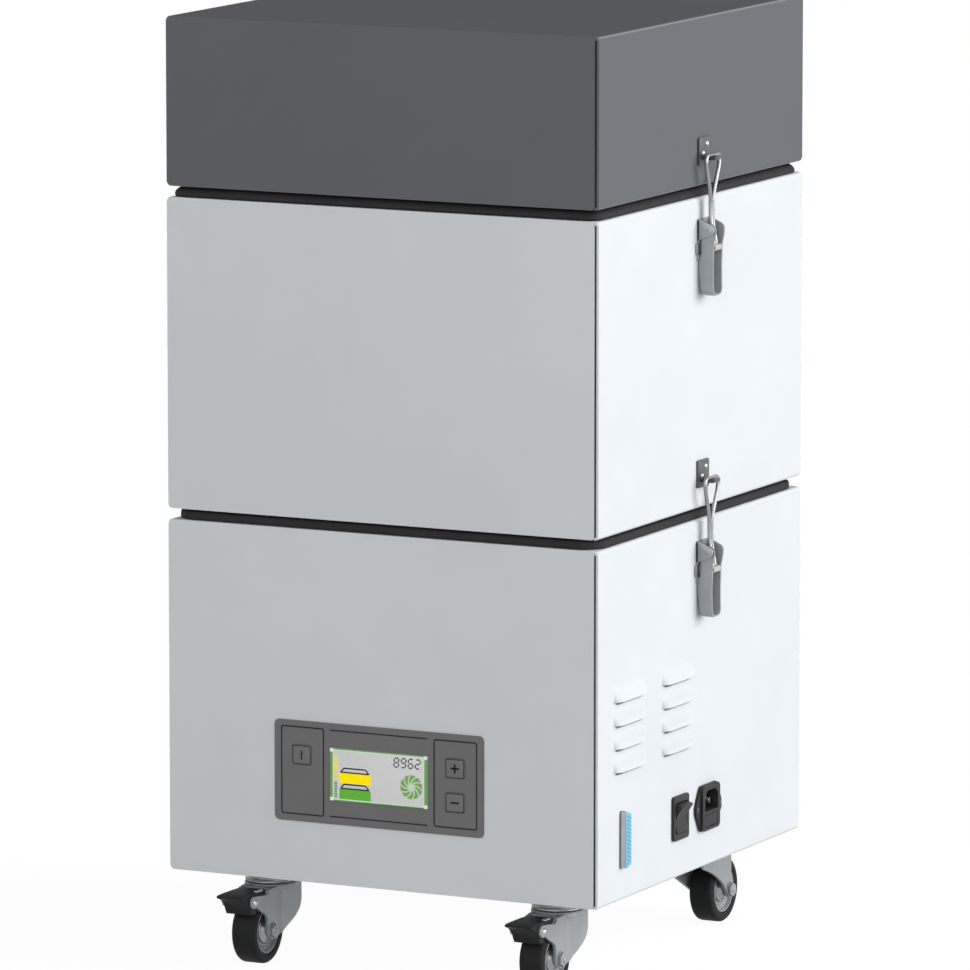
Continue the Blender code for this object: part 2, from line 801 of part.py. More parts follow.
def add_exhaust(wrap):
    slots = []
    for row in range(EXHAUST_ROWS):
        for column in range(EXHAUST_COLUMNS):
            x = (column - (EXHAUST_COLUMNS - 1) / 2) * EXHAUST_PITCH_X
            z = BASE_BOTTOM + EXHAUST_BOTTOM + row * EXHAUST_PITCH_Z
            slots.append(
                block(
                    "exhaust_slot",
                    (x - EXHAUST_SLOT_WIDTH / 2, HALF_DEPTH - SHEET - OVERRUN, z),
                    (x + EXHAUST_SLOT_WIDTH / 2, HALF_DEPTH + OVERRUN, z + EXHAUST_SLOT_HEIGHT),
                    cutters,
                )
            )
    combine(wrap, joined("exhaust_slots", slots, cutters), "DIFFERENCE")


def add_side_cutouts(wrap):
    """Holes in the right side for the switch, the mains inlet and the connector."""
    middle = BASE_BOTTOM + ELECTRICS_Z
    inside = HALF_WIDTH - SHEET - OVERRUN
    outside = HALF_WIDTH + OVERRUN
    sizes = (
        ("switch_hole", SWITCH_Y, switch_body_half()),
        ("inlet_hole", INLET_Y, inlet_body_half()),
    )
    for name, y, (half_y, half_z) in sizes:
        hole = block(
            name,
            (inside, y - half_y - GAP, middle - half_z - GAP),
            (outside, y + half_y + GAP, middle + half_z + GAP),
            cutters,
        )
        combine(wrap, hole, "DIFFERENCE")
    hole = slab(
        "connector_hole", connector_outline(-GAP), inside, outside, FACING_RIGHT, cutters
    )
    combine(wrap, hole, "DIFFERENCE")


def make_base(parent):
    light = paint("light_paint", LIGHT_PAINT)
    flanges = (BASE_TOP_FLANGE, BASE_BOTTOM_FLANGE)
    wrap, front = sheet_pair("base", BASE_BOTTOM, BASE_TOP, *flanges)
    add_louvres(wrap)
    add_exhaust(wrap)
    add_side_cutouts(wrap)
    panel_middle = BASE_BOTTOM + PANEL_BOTTOM + PANEL_HEIGHT / 2
    window = block(
        "panel_window",
        (
            PANEL_MIDDLE - PANEL_BODY_HALF_WIDTH - GAP,
            -HALF_DEPTH - OVERRUN,
            panel_middle - PANEL_BODY_HALF_HEIGHT - GAP,
        ),
        (
            PANEL_MIDDLE + PANEL_BODY_HALF_WIDTH + GAP,
            FRONT_DEPTH + OVERRUN - HALF_DEPTH,
            panel_middle + PANEL_BODY_HALF_HEIGHT + GAP,
        ),
        cutters,
    )
    combine(front, window, "DIFFERENCE")
    finish(wrap, "base_shell", light, parent)
    finish(front, "base_front", light, parent)

    edge = SHEET + GAP
    floor = block(
        "base_floor",
        (edge - HALF_WIDTH, ROOM_FRONT + GAP, FLOOR_BOTTOM),
        (HALF_WIDTH - edge, HALF_DEPTH - edge, FLOOR_TOP),
        parts,
    )
    studs = [
        cylinder(
            "stud_hole",
            (x, y, FLOOR_BOTTOM - OVERRUN),
            (x, y, FLOOR_TOP + OVERRUN),
            STUD_RADIUS + GAP,
            ROUND_FACETS,
            cutters,
        )
        for x in (-CASTOR_X, CASTOR_X)
        for y in (-CASTOR_Y, CASTOR_Y)
    ]
    combine(floor, joined("stud_holes", studs, cutters), "DIFFERENCE")
    finish(floor, "base_floor", paint("zinc_steel", ZINC_STEEL), parent)


def make_blower(parent):
    """The plate hangs under the base's top flange, the scroll under the plate and the motor under it."""
    plate_top = BASE_TOP - SHEET - GAP
    plate_bottom = plate_top - BLOWER_PLATE
    steel = paint("zinc_steel", ZINC_STEEL)
    edge = SHEET + GAP
    plate = block(
        "blower_plate",
        (edge - HALF_WIDTH, ROOM_FRONT + GAP, plate_bottom),
        (HALF_WIDTH - edge, HALF_DEPTH - edge, plate_top),
        parts,
    )
    eye = cylinder(
        "blower_eye",
        (0, 0, plate_bottom - OVERRUN),
        (0, 0, plate_top + OVERRUN),
        INTAKE_EYE_RADIUS,
        ROUND_FACETS,
        cutters,
    )
    combine(plate, eye, "DIFFERENCE")
    finish(plate, "blower_plate", steel, parent)

    scroll_top = plate_bottom - GAP
    scroll_bottom = scroll_top - SCROLL_HEIGHT
    inner = SCROLL_RADIUS - SCROLL_WALL
    profile = (
        (SCROLL_RADIUS, scroll_top),
        (SCROLL_RADIUS, scroll_bottom),
        (MOTOR_HUB_WELL_RADIUS, scroll_bottom),
        (MOTOR_HUB_WELL_RADIUS, scroll_bottom + SCROLL_WALL),
        (inner, scroll_bottom + SCROLL_WALL),
        (inner, scroll_top),
    )
    scroll = settled(turned("blower_scroll", profile, ROUND_FACETS, parts, closed=True))
    outlet_bottom = scroll_bottom + SCROLL_WALL + IMPELLER_DISC
    outlet = block(
        "scroll_outlet",
        (-SCROLL_OUTLET_WIDTH / 2, 0, outlet_bottom),
        (SCROLL_OUTLET_WIDTH / 2, SCROLL_RADIUS + OVERRUN, outlet_bottom + SCROLL_OUTLET_HEIGHT),
        cutters,
    )
    combine(scroll, outlet, "DIFFERENCE")
    finish(scroll, "blower_scroll", steel, parent)

    motor_top = scroll_bottom - GAP
    motor_profile = (
        (MOTOR_FLANGE_RADIUS, motor_top),
        (MOTOR_FLANGE_RADIUS, motor_top - MOTOR_FLANGE),
        (MOTOR_RADIUS, motor_top - MOTOR_FLANGE),
        (MOTOR_RADIUS, motor_top - MOTOR_HEIGHT),
        (0.0, motor_top - MOTOR_HEIGHT),
        (0.0, motor_top - SHAFT_DEPTH - GAP),
        (SHAFT_RADIUS + GAP, motor_top - SHAFT_DEPTH - GAP),
        (SHAFT_RADIUS + GAP, motor_top),
    )
    motor = settled(turned("blower_motor", motor_profile, ROUND_FACETS, parts, closed=True))
    finish(motor, "blower_motor", paint("cast_aluminium", CAST_ALUMINIUM), parent)
    make_impeller(parent, scroll_bottom + SCROLL_WALL + IMPELLER_CLEARANCE, motor_top)


def blade_outline():
    """A backward-curved blade from the eye to the rim, as a strip round an arc."""
    start = Vector((INTAKE_EYE_RADIUS * 0.8, 0.0))
    sweep = radians(48.0)
    steps = 5
    middle = []
    for i in range(steps + 1):
        share = i / steps
        reach = start.x + (IMPELLER_RADIUS - IMPELLER_BLADE - start.x) * share
        angle = -sweep * share * share
        middle.append(Vector((reach * cos(angle), reach * sin(angle))))
    left, right = [], []
    for i, point in enumerate(middle):
        ahead = middle[min(i + 1, steps)] - middle[max(i - 1, 0)]
        side = Vector((-ahead.y, ahead.x)).normalized() * IMPELLER_BLADE / 2
        left.append(tuple(point + side))
        right.append(tuple(point - side))
    return right + left[::-1]


def make_impeller(parent, bottom, motor_top):
    disc_top = bottom + IMPELLER_DISC
    blade_top = disc_top + IMPELLER_BLADE_HEIGHT
    hub_top = disc_top + IMPELLER_BLADE_HEIGHT / 2
    profile = (
        (0.0, hub_top),
        (HUB_RADIUS, hub_top),
        (HUB_RADIUS * 1.3, disc_top),
        (IMPELLER_RADIUS, disc_top),
        (IMPELLER_RADIUS, bottom),
        (SHAFT_RADIUS, bottom),
        (SHAFT_RADIUS, motor_top - SHAFT_DEPTH),
        (0.0, motor_top - SHAFT_DEPTH),
    )
    pieces = [settled(turned("impeller", profile, ROUND_FACETS, parts))]
    ring = (
        (IMPELLER_RADIUS, blade_top + IMPELLER_RING),
        (IMPELLER_RADIUS, blade_top),
        (INTAKE_EYE_RADIUS, blade_top),
        (INTAKE_EYE_RADIUS, blade_top + IMPELLER_RING),
    )
    pieces.append(settled(turned("impeller_ring", ring, ROUND_FACETS, cutters, closed=True)))
    sink = IMPELLER_RING / 2
    blades = []
    for i in range(IMPELLER_BLADES):
        blade = slab(
            "impeller_blade",
            blade_outline(),
            disc_top - sink,
            blade_top + sink,
            Matrix.Identity(4),
            cutters,
        )
        blades.append(moved(blade, Matrix.Rotation(2 * pi * i / IMPELLER_BLADES, 4, "Z")))
    pieces.append(joined("impeller_blades", blades, cutters))
    shaft = empty("impeller_axis", (0, 0, 0), parent=parent)
    wheel = united("impeller", pieces)
    finish(wheel, "impeller", paint("black_plastic", BLACK_PLASTIC), shaft)


def make_control_panel(parent):
    film = paint("panel_film", PANEL_FILM)
    middle = BASE_BOTTOM + PANEL_BOTTOM + PANEL_HEIGHT / 2
    front = HALF_DEPTH + PANEL_PROUD
    face = slab(
        "control_panel",
        rounded_rectangle(
            PANEL_WIDTH / 2, PANEL_HEIGHT / 2, PANEL_CORNER, 3, (PANEL_MIDDLE, middle)
        ),
        HALF_DEPTH + GAP,
        front,
        FACING_FRONT,
        parts,
    )
    body = block(
        "panel_body",
        (
            PANEL_MIDDLE - PANEL_BODY_HALF_WIDTH,
            -front + PANEL_PROUD / 2,
            middle - PANEL_BODY_HALF_HEIGHT,
        ),
        (
            PANEL_MIDDLE + PANEL_BODY_HALF_WIDTH,
            -front + PANEL_BODY_DEPTH,
            middle + PANEL_BODY_HALF_HEIGHT,
        ),
        cutters,
    )
    panel = united("control_panel", [face, body])

    base = BASE_BOTTOM + PANEL_BOTTOM
    screen_low = base + DISPLAY_BOTTOM
    pocket = block(
        "display_pocket",
        (DISPLAY_MIDDLE - DISPLAY_WIDTH / 2, -front - OVERRUN, screen_low),
        (
            DISPLAY_MIDDLE + DISPLAY_WIDTH / 2,
            -front + DISPLAY_DEPTH + GAP,
            screen_low + DISPLAY_HEIGHT,
        ),
        cutters,
    )
    combine(panel, pocket, "DIFFERENCE")
    window = block(
        "display_window",
        (DISPLAY_MIDDLE - DISPLAY_WIDTH / 2 + GAP, -front, screen_low + GAP),
        (
            DISPLAY_MIDDLE + DISPLAY_WIDTH / 2 - GAP,
            -front + DISPLAY_DEPTH,
            screen_low + DISPLAY_HEIGHT - GAP,
        ),
        parts,
    )
    finish(window, "display_window", paint("display_film", DISPLAY_FILM), parent)

    keys = (
        ("power_button", POWER_KEY_X, UPPER_KEY_Z),
        ("plus_button", SETTING_KEY_X, UPPER_KEY_Z),
        ("minus_button", SETTING_KEY_X, LOWER_KEY_Z),
    )
    well_depth = KEY_DEPTH - KEY_PROUD + KEY_TRAVEL + GAP
    for name, x, height in keys:
        place = (x, base + height)
        well = slab(
            name + "_well",
            rounded_rectangle(KEY_WIDTH / 2 + GAP, KEY_HEIGHT / 2 + GAP, KEY_CORNER, 3, place),
            front - well_depth,
            front + OVERRUN,
            FACING_FRONT,
            cutters,
        )
        combine(panel, well, "DIFFERENCE")
        key = slab(
            name,
            rounded_rectangle(KEY_WIDTH / 2, KEY_HEIGHT / 2, KEY_CORNER, 3, place),
            front + KEY_PROUD - KEY_DEPTH,
            front + KEY_PROUD,
            FACING_FRONT,
            parts,
        )
        finish(key, name, film, parent)
    finish(panel, "control_panel", film, parent)


def switch_body_half():
    return (
        SWITCH_WIDTH / 2 - SWITCH_FRAME_WALL / 2,
        SWITCH_HEIGHT / 2 - SWITCH_FRAME_WALL / 2,
    )


def make_switch(parent):
    """A snap-in frame and a dished rocker that leans out at the top."""
    middle = BASE_BOTTOM + ELECTRICS_Z
    black = paint("black_plastic", BLACK_PLASTIC)
    frame = slab(
        "switch_frame",
        rounded_rectangle(
            SWITCH_WIDTH / 2, SWITCH_HEIGHT / 2, SWITCH_CORNER, 3, (SWITCH_Y, middle)
        ),
        HALF_WIDTH + GAP,
        HALF_WIDTH + SWITCH_PROUD,
        FACING_RIGHT,
        parts,
    )
    half_y, half_z = switch_body_half()
    body = block(
        "switch_body",
        (HALF_WIDTH - SWITCH_DEPTH, SWITCH_Y - half_y, middle - half_z),
        (HALF_WIDTH + SWITCH_PROUD / 2, SWITCH_Y + half_y, middle + half_z),
        cutters,
    )
    frame = united("switch_frame", [frame, body])
    well_y = SWITCH_WIDTH / 2 - SWITCH_FRAME_WALL
    well_z = SWITCH_HEIGHT / 2 - SWITCH_FRAME_WALL
    well = block(
        "switch_well",
        (HALF_WIDTH - SWITCH_DEPTH + SWITCH_FRAME_WALL, SWITCH_Y - well_y, middle - well_z),
        (HALF_WIDTH + SWITCH_PROUD + OVERRUN, SWITCH_Y + well_y, middle + well_z),
        cutters,
    )
    combine(frame, well, "DIFFERENCE")
    finish(frame, "switch_frame", black, parent)

    reach = well_z - GAP * 2
    lift = asin(ROCKER_HORN / reach)
    tail = SWITCH_DEPTH - SWITCH_FRAME_WALL - ROCKER_AXIS_DEPTH - GAP * 2
    points = [(ROCKER_DISH, 0.0), (reach * sin(lift), reach * cos(lift))]
    points += [(0.0, reach), (-tail * 0.3, reach * 0.9), (-tail, reach * 0.35)]
    points += [(x, -z) for x, z in points[:0:-1]]
    hinge = (HALF_WIDTH + SWITCH_PROUD - ROCKER_AXIS_DEPTH, SWITCH_Y, middle)
    width = SWITCH_WIDTH - SWITCH_FRAME_WALL * 2 - GAP * 2
    rocker = outline("switch_rocker", points, width, parts)
    moved(rocker, FACING_FRONT)
    axis = empty("switch_axis", hinge, parent=parent)
    axis.rotation_euler = (0.0, ROCKER_TILT, 0.0)
    finish(rocker, "switch_rocker", black, axis)


def inlet_body_half():
    return (INLET_BODY_WIDTH / 2, INLET_BODY_HEIGHT / 2)


def make_mains_inlet(parent):
    """A three-pin inlet with a flange that narrows to two screwed ears, over a fuse drawer."""
    middle = BASE_BOTTOM + ELECTRICS_Z
    black = paint("black_plastic", BLACK_PLASTIC)
    half_w, half_h = INLET_WIDTH / 2, INLET_HEIGHT / 2
    cut = half_h * 0.18
    ear = half_h * 0.20
    quarter = (
        (INLET_EAR_REACH, ear),
        (half_w, half_h - cut),
        (half_w - cut, half_h),
    )
    right_up = [(INLET_Y + y, middle + z) for y, z in quarter]
    left_up = [(INLET_Y - y, middle + z) for y, z in quarter[::-1]]
    left_down = [(INLET_Y - y, middle - z) for y, z in quarter]
    right_down = [(INLET_Y + y, middle - z) for y, z in quarter[::-1]]
    flange = slab(
        "mains_inlet",
        right_up + left_up + left_down + right_down,
        HALF_WIDTH + GAP,
        HALF_WIDTH + INLET_FLANGE,
        FACING_RIGHT,
        parts,
    )
    half_y, half_z = inlet_body_half()
    body = slab(
        "inlet_body",
        rounded_rectangle(half_y, half_z, SWITCH_CORNER, 3, (INLET_Y, middle)),
        HALF_WIDTH - INLET_DEPTH,
        HALF_WIDTH + INLET_BODY_PROUD,
        FACING_RIGHT,
        cutters,
    )
    inlet = united("mains_inlet", [flange, body])

    face = HALF_WIDTH + INLET_BODY_PROUD
    floor = face - INLET_SOCKET_DEPTH
    level = middle + INLET_SOCKET_RAISE
    sock_y, sock_z = INLET_SOCKET_WIDTH / 2, INLET_SOCKET_HEIGHT / 2
    chamfer = INLET_SOCKET_CHAMFER
    shape = (
        (INLET_Y - sock_y, level - sock_z),
        (INLET_Y + sock_y, level - sock_z),
        (INLET_Y + sock_y, level + sock_z - chamfer),
        (INLET_Y + sock_y - chamfer, level + sock_z),
        (INLET_Y - sock_y + chamfer, level + sock_z),
        (INLET_Y - sock_y, level + sock_z - chamfer),
    )
    socket = slab("inlet_socket", shape, floor, face + OVERRUN, FACING_RIGHT, cutters)
    combine(inlet, socket, "DIFFERENCE")
    fuse_level = middle - FUSE_DROP
    well = block(
        "fuse_well",
        (
            face - FUSE_DEPTH - GAP,
            INLET_Y - FUSE_WIDTH / 2 - GAP,
            fuse_level - FUSE_HEIGHT / 2 - GAP,
        ),
        (
            face + OVERRUN,
            INLET_Y + FUSE_WIDTH / 2 + GAP,
            fuse_level + FUSE_HEIGHT / 2 + GAP,
        ),
        cutters,
    )
    combine(inlet, well, "DIFFERENCE")
    pins = []
    pin_places = (
        (-INLET_PIN_SPREAD, -INLET_PIN_RISE),
        (0.0, INLET_PIN_RISE),
        (INLET_PIN_SPREAD, -INLET_PIN_RISE),
    )
    for y, z in pin_places:
        pins.append(
            block(
                "inlet_pin",
                (
                    floor - GAP,
                    INLET_Y + y - INLET_PIN_THICKNESS / 2,
                    level + z - INLET_PIN_WIDTH / 2,
                ),
                (
                    face - INLET_PIN_RECESS,
                    INLET_Y + y + INLET_PIN_THICKNESS / 2,
                    level + z + INLET_PIN_WIDTH / 2,
                ),
                cutters,
            )
        )
    combine(inlet, joined("inlet_pins", pins, cutters), "UNION")
    finish(inlet, "mains_inlet", black, parent)

    drawer = block(
        "fuse_drawer",
        (face - FUSE_DEPTH, INLET_Y - FUSE_WIDTH / 2, fuse_level - FUSE_HEIGHT / 2),
        (face, INLET_Y + FUSE_WIDTH / 2, fuse_level + FUSE_HEIGHT / 2),
        parts,
    )
    finish(drawer, "fuse_drawer", black, parent)


def connector_outline(inset):
    """A tall D shape: one long side a little shorter than the other."""
    half_w = CONNECTOR_WIDTH / 2 - inset
    half_l = CONNECTOR_LENGTH / 2 - inset
    slant = CONNECTOR_SLANT
    middle = BASE_BOTTOM + ELECTRICS_Z
    corner = CONNECTOR_WIDTH / 5
    flat = (
        (-half_w, -half_l + corner),
        (-half_w + corner, -half_l),
        (half_w - corner, -half_l + slant),
        (half_w, -half_l + slant + corner),
        (half_w, half_l - slant - corner),
        (half_w - corner, half_l - slant),
        (-half_w + corner, half_l),
        (-half_w, half_l - corner),
    )
    return [(CONNECTOR_Y + y, middle + z) for y, z in flat]


def make_connector(parent):
    face = HALF_WIDTH + CONNECTOR_PROUD
    shell = slab(
        "signal_connector",
        connector_outline(0.0),
        HALF_WIDTH - CONNECTOR_DEPTH,
        face,
        FACING_RIGHT,
        parts,
    )
    hollow = slab(
        "connector_hollow",
        connector_outline(CONNECTOR_WALL),
        HALF_WIDTH - CONNECTOR_DEPTH + CONNECTOR_WALL,
        face + OVERRUN,
        FACING_RIGHT,
        cutters,
    )
    combine(shell, hollow, "DIFFERENCE")
    insert = slab(
        "connector_insert",
        connector_outline(CONNECTOR_WALL + GAP),
        HALF_WIDTH - CONNECTOR_DEPTH + CONNECTOR_WALL / 2,
        face - CONNECTOR_RECESS,
        FACING_RIGHT,
        cutters,
    )
    combine(shell, insert, "UNION")
    finish(shell, "signal_connector", paint("zinc_steel", ZINC_STEEL), parent)


def catch_plate():
    """The upper plate: two screw holes and a tongue bent out under the bail."""
    plate = block(
        "catch",
        (GAP, -CATCH_WIDTH / 2, CATCH_BOTTOM),
        (GAP + CATCH_SHEET, CATCH_WIDTH / 2, CATCH_TOP),
        parts,
    )
    ledge_top = BAIL_TOP_UP - WIRE_RADIUS - GAP
    lip_start = BAIL_TOP_OUT + WIRE_RADIUS + HOOK_LIP_CLEARANCE
    lip_end = lip_start + CATCH_SHEET
    ledge_bottom = ledge_top - CATCH_SHEET
    bend = CATCH_SHEET / 2
    points = (
        (GAP + bend, ledge_bottom - bend),
        (GAP + CATCH_SHEET + bend, ledge_bottom),
        (lip_end - bend, ledge_bottom),
        (lip_end, ledge_bottom + bend),
        (lip_end, ledge_top + HOOK_LIP),
        (lip_start, ledge_top + HOOK_LIP),
        (lip_start, ledge_top),
        (GAP + bend, ledge_top),
    )
    tongue = outline("catch_tongue", points, HOOK_WIDTH, cutters)
    moved(tongue, FACING_FRONT)
    catch = united("catch", [plate, tongue])
    for i, (side, up) in enumerate(SCREW_PLACES):
        hole = cylinder(
            f"catch_hole_{i}",
            (-OVERRUN, side, up),
            (GAP + CATCH_SHEET + OVERRUN, side, up),
            LATCH_HOLE_RADIUS,
            SMALL_FACETS,
            cutters,
        )
        combine(catch, hole, "DIFFERENCE")
    return baked(catch)


def latch_bracket():
    """The lower plate: two ears with pivot studs, and two wings against the wall."""
    ear_outside = LEVER_WIDTH / 2 + GAP + BRACKET_SHEET
    plate = block(
        "bracket",
        (GAP, -ear_outside, BRACKET_BOTTOM),
        (GAP + BRACKET_SHEET, ear_outside, BRACKET_TOP),
        parts,
    )
    wings = block(
        "bracket_wings",
        (GAP, -ear_outside - WING_REACH, WING_BOTTOM),
        (GAP + BRACKET_SHEET, ear_outside + WING_REACH, WING_TOP),
        cutters,
    )
    pieces = [plate, wings]
    head = list(arc((PIVOT_OUT, PIVOT_UP), EAR_HEAD_RADIUS, -60.0, 70.0, 6))
    ear_points = [(GAP, EAR_BOTTOM), *head, (GAP, BRACKET_TOP)]
    for side in (-1, 1):
        ear = outline("bracket_ear", ear_points, BRACKET_SHEET, cutters)
        moved(ear, FACING_FRONT)
        moved(ear, Matrix.Translation((0, side * (ear_outside - BRACKET_SHEET / 2), 0)))
        stud_end = LEVER_WIDTH / 2 - LEVER_SHEET - GAP
        stud = cylinder(
            "bracket_stud",
            (PIVOT_OUT, side * stud_end, PIVOT_UP),
            (PIVOT_OUT, side * (ear_outside + GAP), PIVOT_UP),
            PIVOT_RADIUS,
            SMALL_FACETS,
            cutters,
        )
        pieces += [ear, stud]
    return united("bracket", pieces)


def latch_lever():
    """A channel with its web outside, open round the bail's pin, on its pivot at the origin."""
    tail = LEVER_TAIL_RADIUS
    low = LEVER_BOTTOM
    points = list(arc((PIVOT_OUT, PIVOT_UP), LEVER_HEAD_RADIUS, -10.0, 190.0, 6))
    points.append((LEVER_NOTCH, LEVER_SHOULDER))
    points.append((LEVER_NOTCH, LEVER_HIP + LEVER_SHEET))
    points.append((LEVER_INSIDE, LEVER_HIP))
    points += arc((LEVER_INSIDE + tail, low + tail), tail, 180.0, 270.0, 3)
    points += arc((LEVER_OUTSIDE - tail / 2, low + tail / 2), tail / 2, 270.0, 360.0, 2)
    points.append((LEVER_OUTSIDE, LEVER_SHOULDER))
    middle = LEVER_WIDTH / 2 - LEVER_SHEET / 2
    pieces = []
    for side, home in ((-1, parts), (1, cutters)):
        flange = outline("lever_flange", points, LEVER_SHEET, home)
        moved(flange, FACING_FRONT)
        pieces.append(moved(flange, Matrix.Translation((0, side * middle, 0))))
    web_outside = LEVER_OUTSIDE - WEB_RECESS
    web = block(
        "lever_web",
        (web_outside - LEVER_SHEET, -middle, low + tail / 2),
        (web_outside, middle, WEB_TOP),
        cutters,
    )
    foot = block(
        "lever_foot",
        (LEVER_INSIDE + tail + GAP, -middle, low + GAP),
        (web_outside - LEVER_SHEET / 2, middle, low + GAP + LEVER_SHEET),
        cutters,
    )
    heel = block(
        "lever_heel",
        (web_outside - LEVER_SHEET, -middle, low + GAP * 3),
        (web_outside, middle, low + tail),
        cutters,
    )
    lever = united("lever", [*pieces, web, foot, heel])
    for name, out, up, radius in (
        ("lever_pivot_hole", PIVOT_OUT, PIVOT_UP, PIVOT_RADIUS),
        ("lever_bail_hole", BAIL_PIN_OUT, BAIL_PIN_UP, WIRE_RADIUS),
    ):
        hole = cylinder(
            name,
            (out, -LEVER_WIDTH, up),
            (out, LEVER_WIDTH, up),
            radius + GAP,
            SMALL_FACETS,
            cutters,
        )
        combine(lever, hole, "DIFFERENCE")
    lever = baked(lever)
    return moved(lever, Matrix.Translation((-PIVOT_OUT, 0, -PIVOT_UP)))


def latch_bail():
    """One bent wire: a sleeved pin in the lever, two close legs, spread arms and a straight top."""
    pin_end = LEVER_WIDTH / 2 - GAP
    leg = BAIL_LEG_HALF_GAP
    bend = WIRE_RADIUS * 2
    top = BAIL_TOP_UP - BAIL_PIN_UP
    join = BAIL_JOIN_UP - BAIL_PIN_UP
    wide = BAIL_TOP_HALF_WIDTH
    spread = wide - leg
    sag = BAIL_SAG
    back = BAIL_PIN_OUT - BAIL_TOP_OUT
    half = [
        (0.0, pin_end, 0.0),
        (0.0, leg + bend, 0.0),
        (0.0, leg + bend / 3, bend / 3),
        (-sag / 4, leg, bend),
        (-sag * 0.85, leg, join / 2),
        (-sag, leg, join),
        (-sag, leg + spread * 0.14, join + (top - join) * 0.15),
        (-back, leg + spread * 0.78, join + (top - join) * 0.55),
        (-back, wide - spread * 0.02, top - bend * 2.6),
        (-back, wide, top - bend * 1.3),
        (-back, wide - bend * 0.25, top - bend * 0.5),
        (-back, wide - bend, top),
    ]
    points = half + [(out, -side, up) for out, side, up in half[::-1]]
    bail = wire("bail", points, WIRE_RADIUS, parts)
    sleeve_end = LEVER_WIDTH / 2 - LEVER_SHEET - GAP
    sleeve = cylinder(
        "bail_sleeve",
        (0.0, -sleeve_end, 0.0),
        (0.0, sleeve_end, 0.0),
        SLEEVE_RADIUS,
        SMALL_FACETS + 2,
        cutters,
    )
    return united("bail", [bail, sleeve])


def make_latches(parent):
    steel = paint("latch_steel", ZINC_STEEL)
    nickel = paint("nickel_wire", NICKEL_WIRE)
    catch, bracket, lever, bail = catch_plate(), latch_bracket(), latch_lever(), latch_bail()
    for label, side, level in (
        ("upper_right", 1, FILTER_TOP),
        ("lower_right", 1, BASE_TOP),
        ("upper_left", -1, FILTER_TOP),
        ("lower_left", -1, BASE_TOP),
    ):
        turn = 0.0 if side > 0 else pi
        seat = empty(f"latch_{label}", (side * HALF_WIDTH, LATCH_Y, level), turn, parent)
        placed_copy(f"catch_plate_{label}", catch, steel, seat)
        placed_copy(f"latch_bracket_{label}", bracket, steel, seat)
        pivot = empty(f"lever_pivot_{label}", (PIVOT_OUT, 0.0, PIVOT_UP), 0.0, seat)
        placed_copy(f"latch_lever_{label}", lever, steel, pivot)
        pin_place = (BAIL_PIN_OUT - PIVOT_OUT, 0.0, BAIL_PIN_UP - PIVOT_UP)
        pin = empty(f"bail_pin_{label}", pin_place, 0.0, pivot)
        placed_copy(f"latch_bail_{label}", bail, nickel, pin)
    for source in (catch, bracket, lever, bail):
        bpy.data.objects.remove(source, do_unlink=True)


def castor_head():
    """The fixed half of the swivel: raceway, stud through the floor and its nut."""
    seat = FLOOR_BOTTOM - BASE_BOTTOM - GAP
    nut_bottom = FLOOR_TOP - BASE_BOTTOM + GAP
    nut_top = nut_bottom + STUD_NUT_HEIGHT
    rim = (RACEWAY_DEPTH - RACEWAY_TOP) / 4
    profile = (
        (0.0, nut_top),
        (STUD_NUT_RADIUS, nut_top),
        (STUD_NUT_RADIUS, nut_bottom),
        (STUD_RADIUS, nut_bottom),
        (STUD_RADIUS, seat),
        (SWIVEL_BOSS_RADIUS, seat),
        (SWIVEL_BOSS_RADIUS, -RACEWAY_TOP),
        (RACEWAY_RADIUS - rim, -RACEWAY_TOP),
        (RACEWAY_RADIUS, -RACEWAY_TOP - rim),
        (RACEWAY_RADIUS, -RACEWAY_DEPTH + rim),
        (RACEWAY_RADIUS - rim, -RACEWAY_DEPTH),
        (0.0, -RACEWAY_DEPTH),
    )
    return settled(turned("castor_head", profile, ROUND_FACETS, parts))


def leg_outline(braked):
    """A fork leg seen from the side, trailing towards -Y, with its lug where it has a brake."""
    axle = (-CASTOR_TRAIL, TYRE_RADIUS - CASTOR_HEIGHT)
    crown = -CROWN_TOP - CROWN_DEPTH / 2
    front = LEG_FRONT if braked else PLAIN_LEG_FRONT
    points = [(LEG_BACK, crown), (LEG_BACK, axle[1] * 0.68)]
    points += [(LEG_BACK * 0.60, axle[1] * 0.855), (0.0, axle[1])]
    points += arc(axle, BOSS_RADIUS, -50.0, -140.0, 4)
    points.append((-front, axle[1] * 1.02))
    if braked:
        pivot = (-PEDAL_PIVOT_Y, -PEDAL_PIVOT_DROP)
        points.append((-front, axle[1] * 0.74))
        points.append((-front * 1.20, axle[1] * 0.67))
        points += arc(pivot, LUG_RADIUS, -60.0, -260.0, 6)
        points.append((-front, pivot[1] * 0.97))
        points.append((-front * 0.95, crown))
    else:
        points.append((-front, crown))
    return points


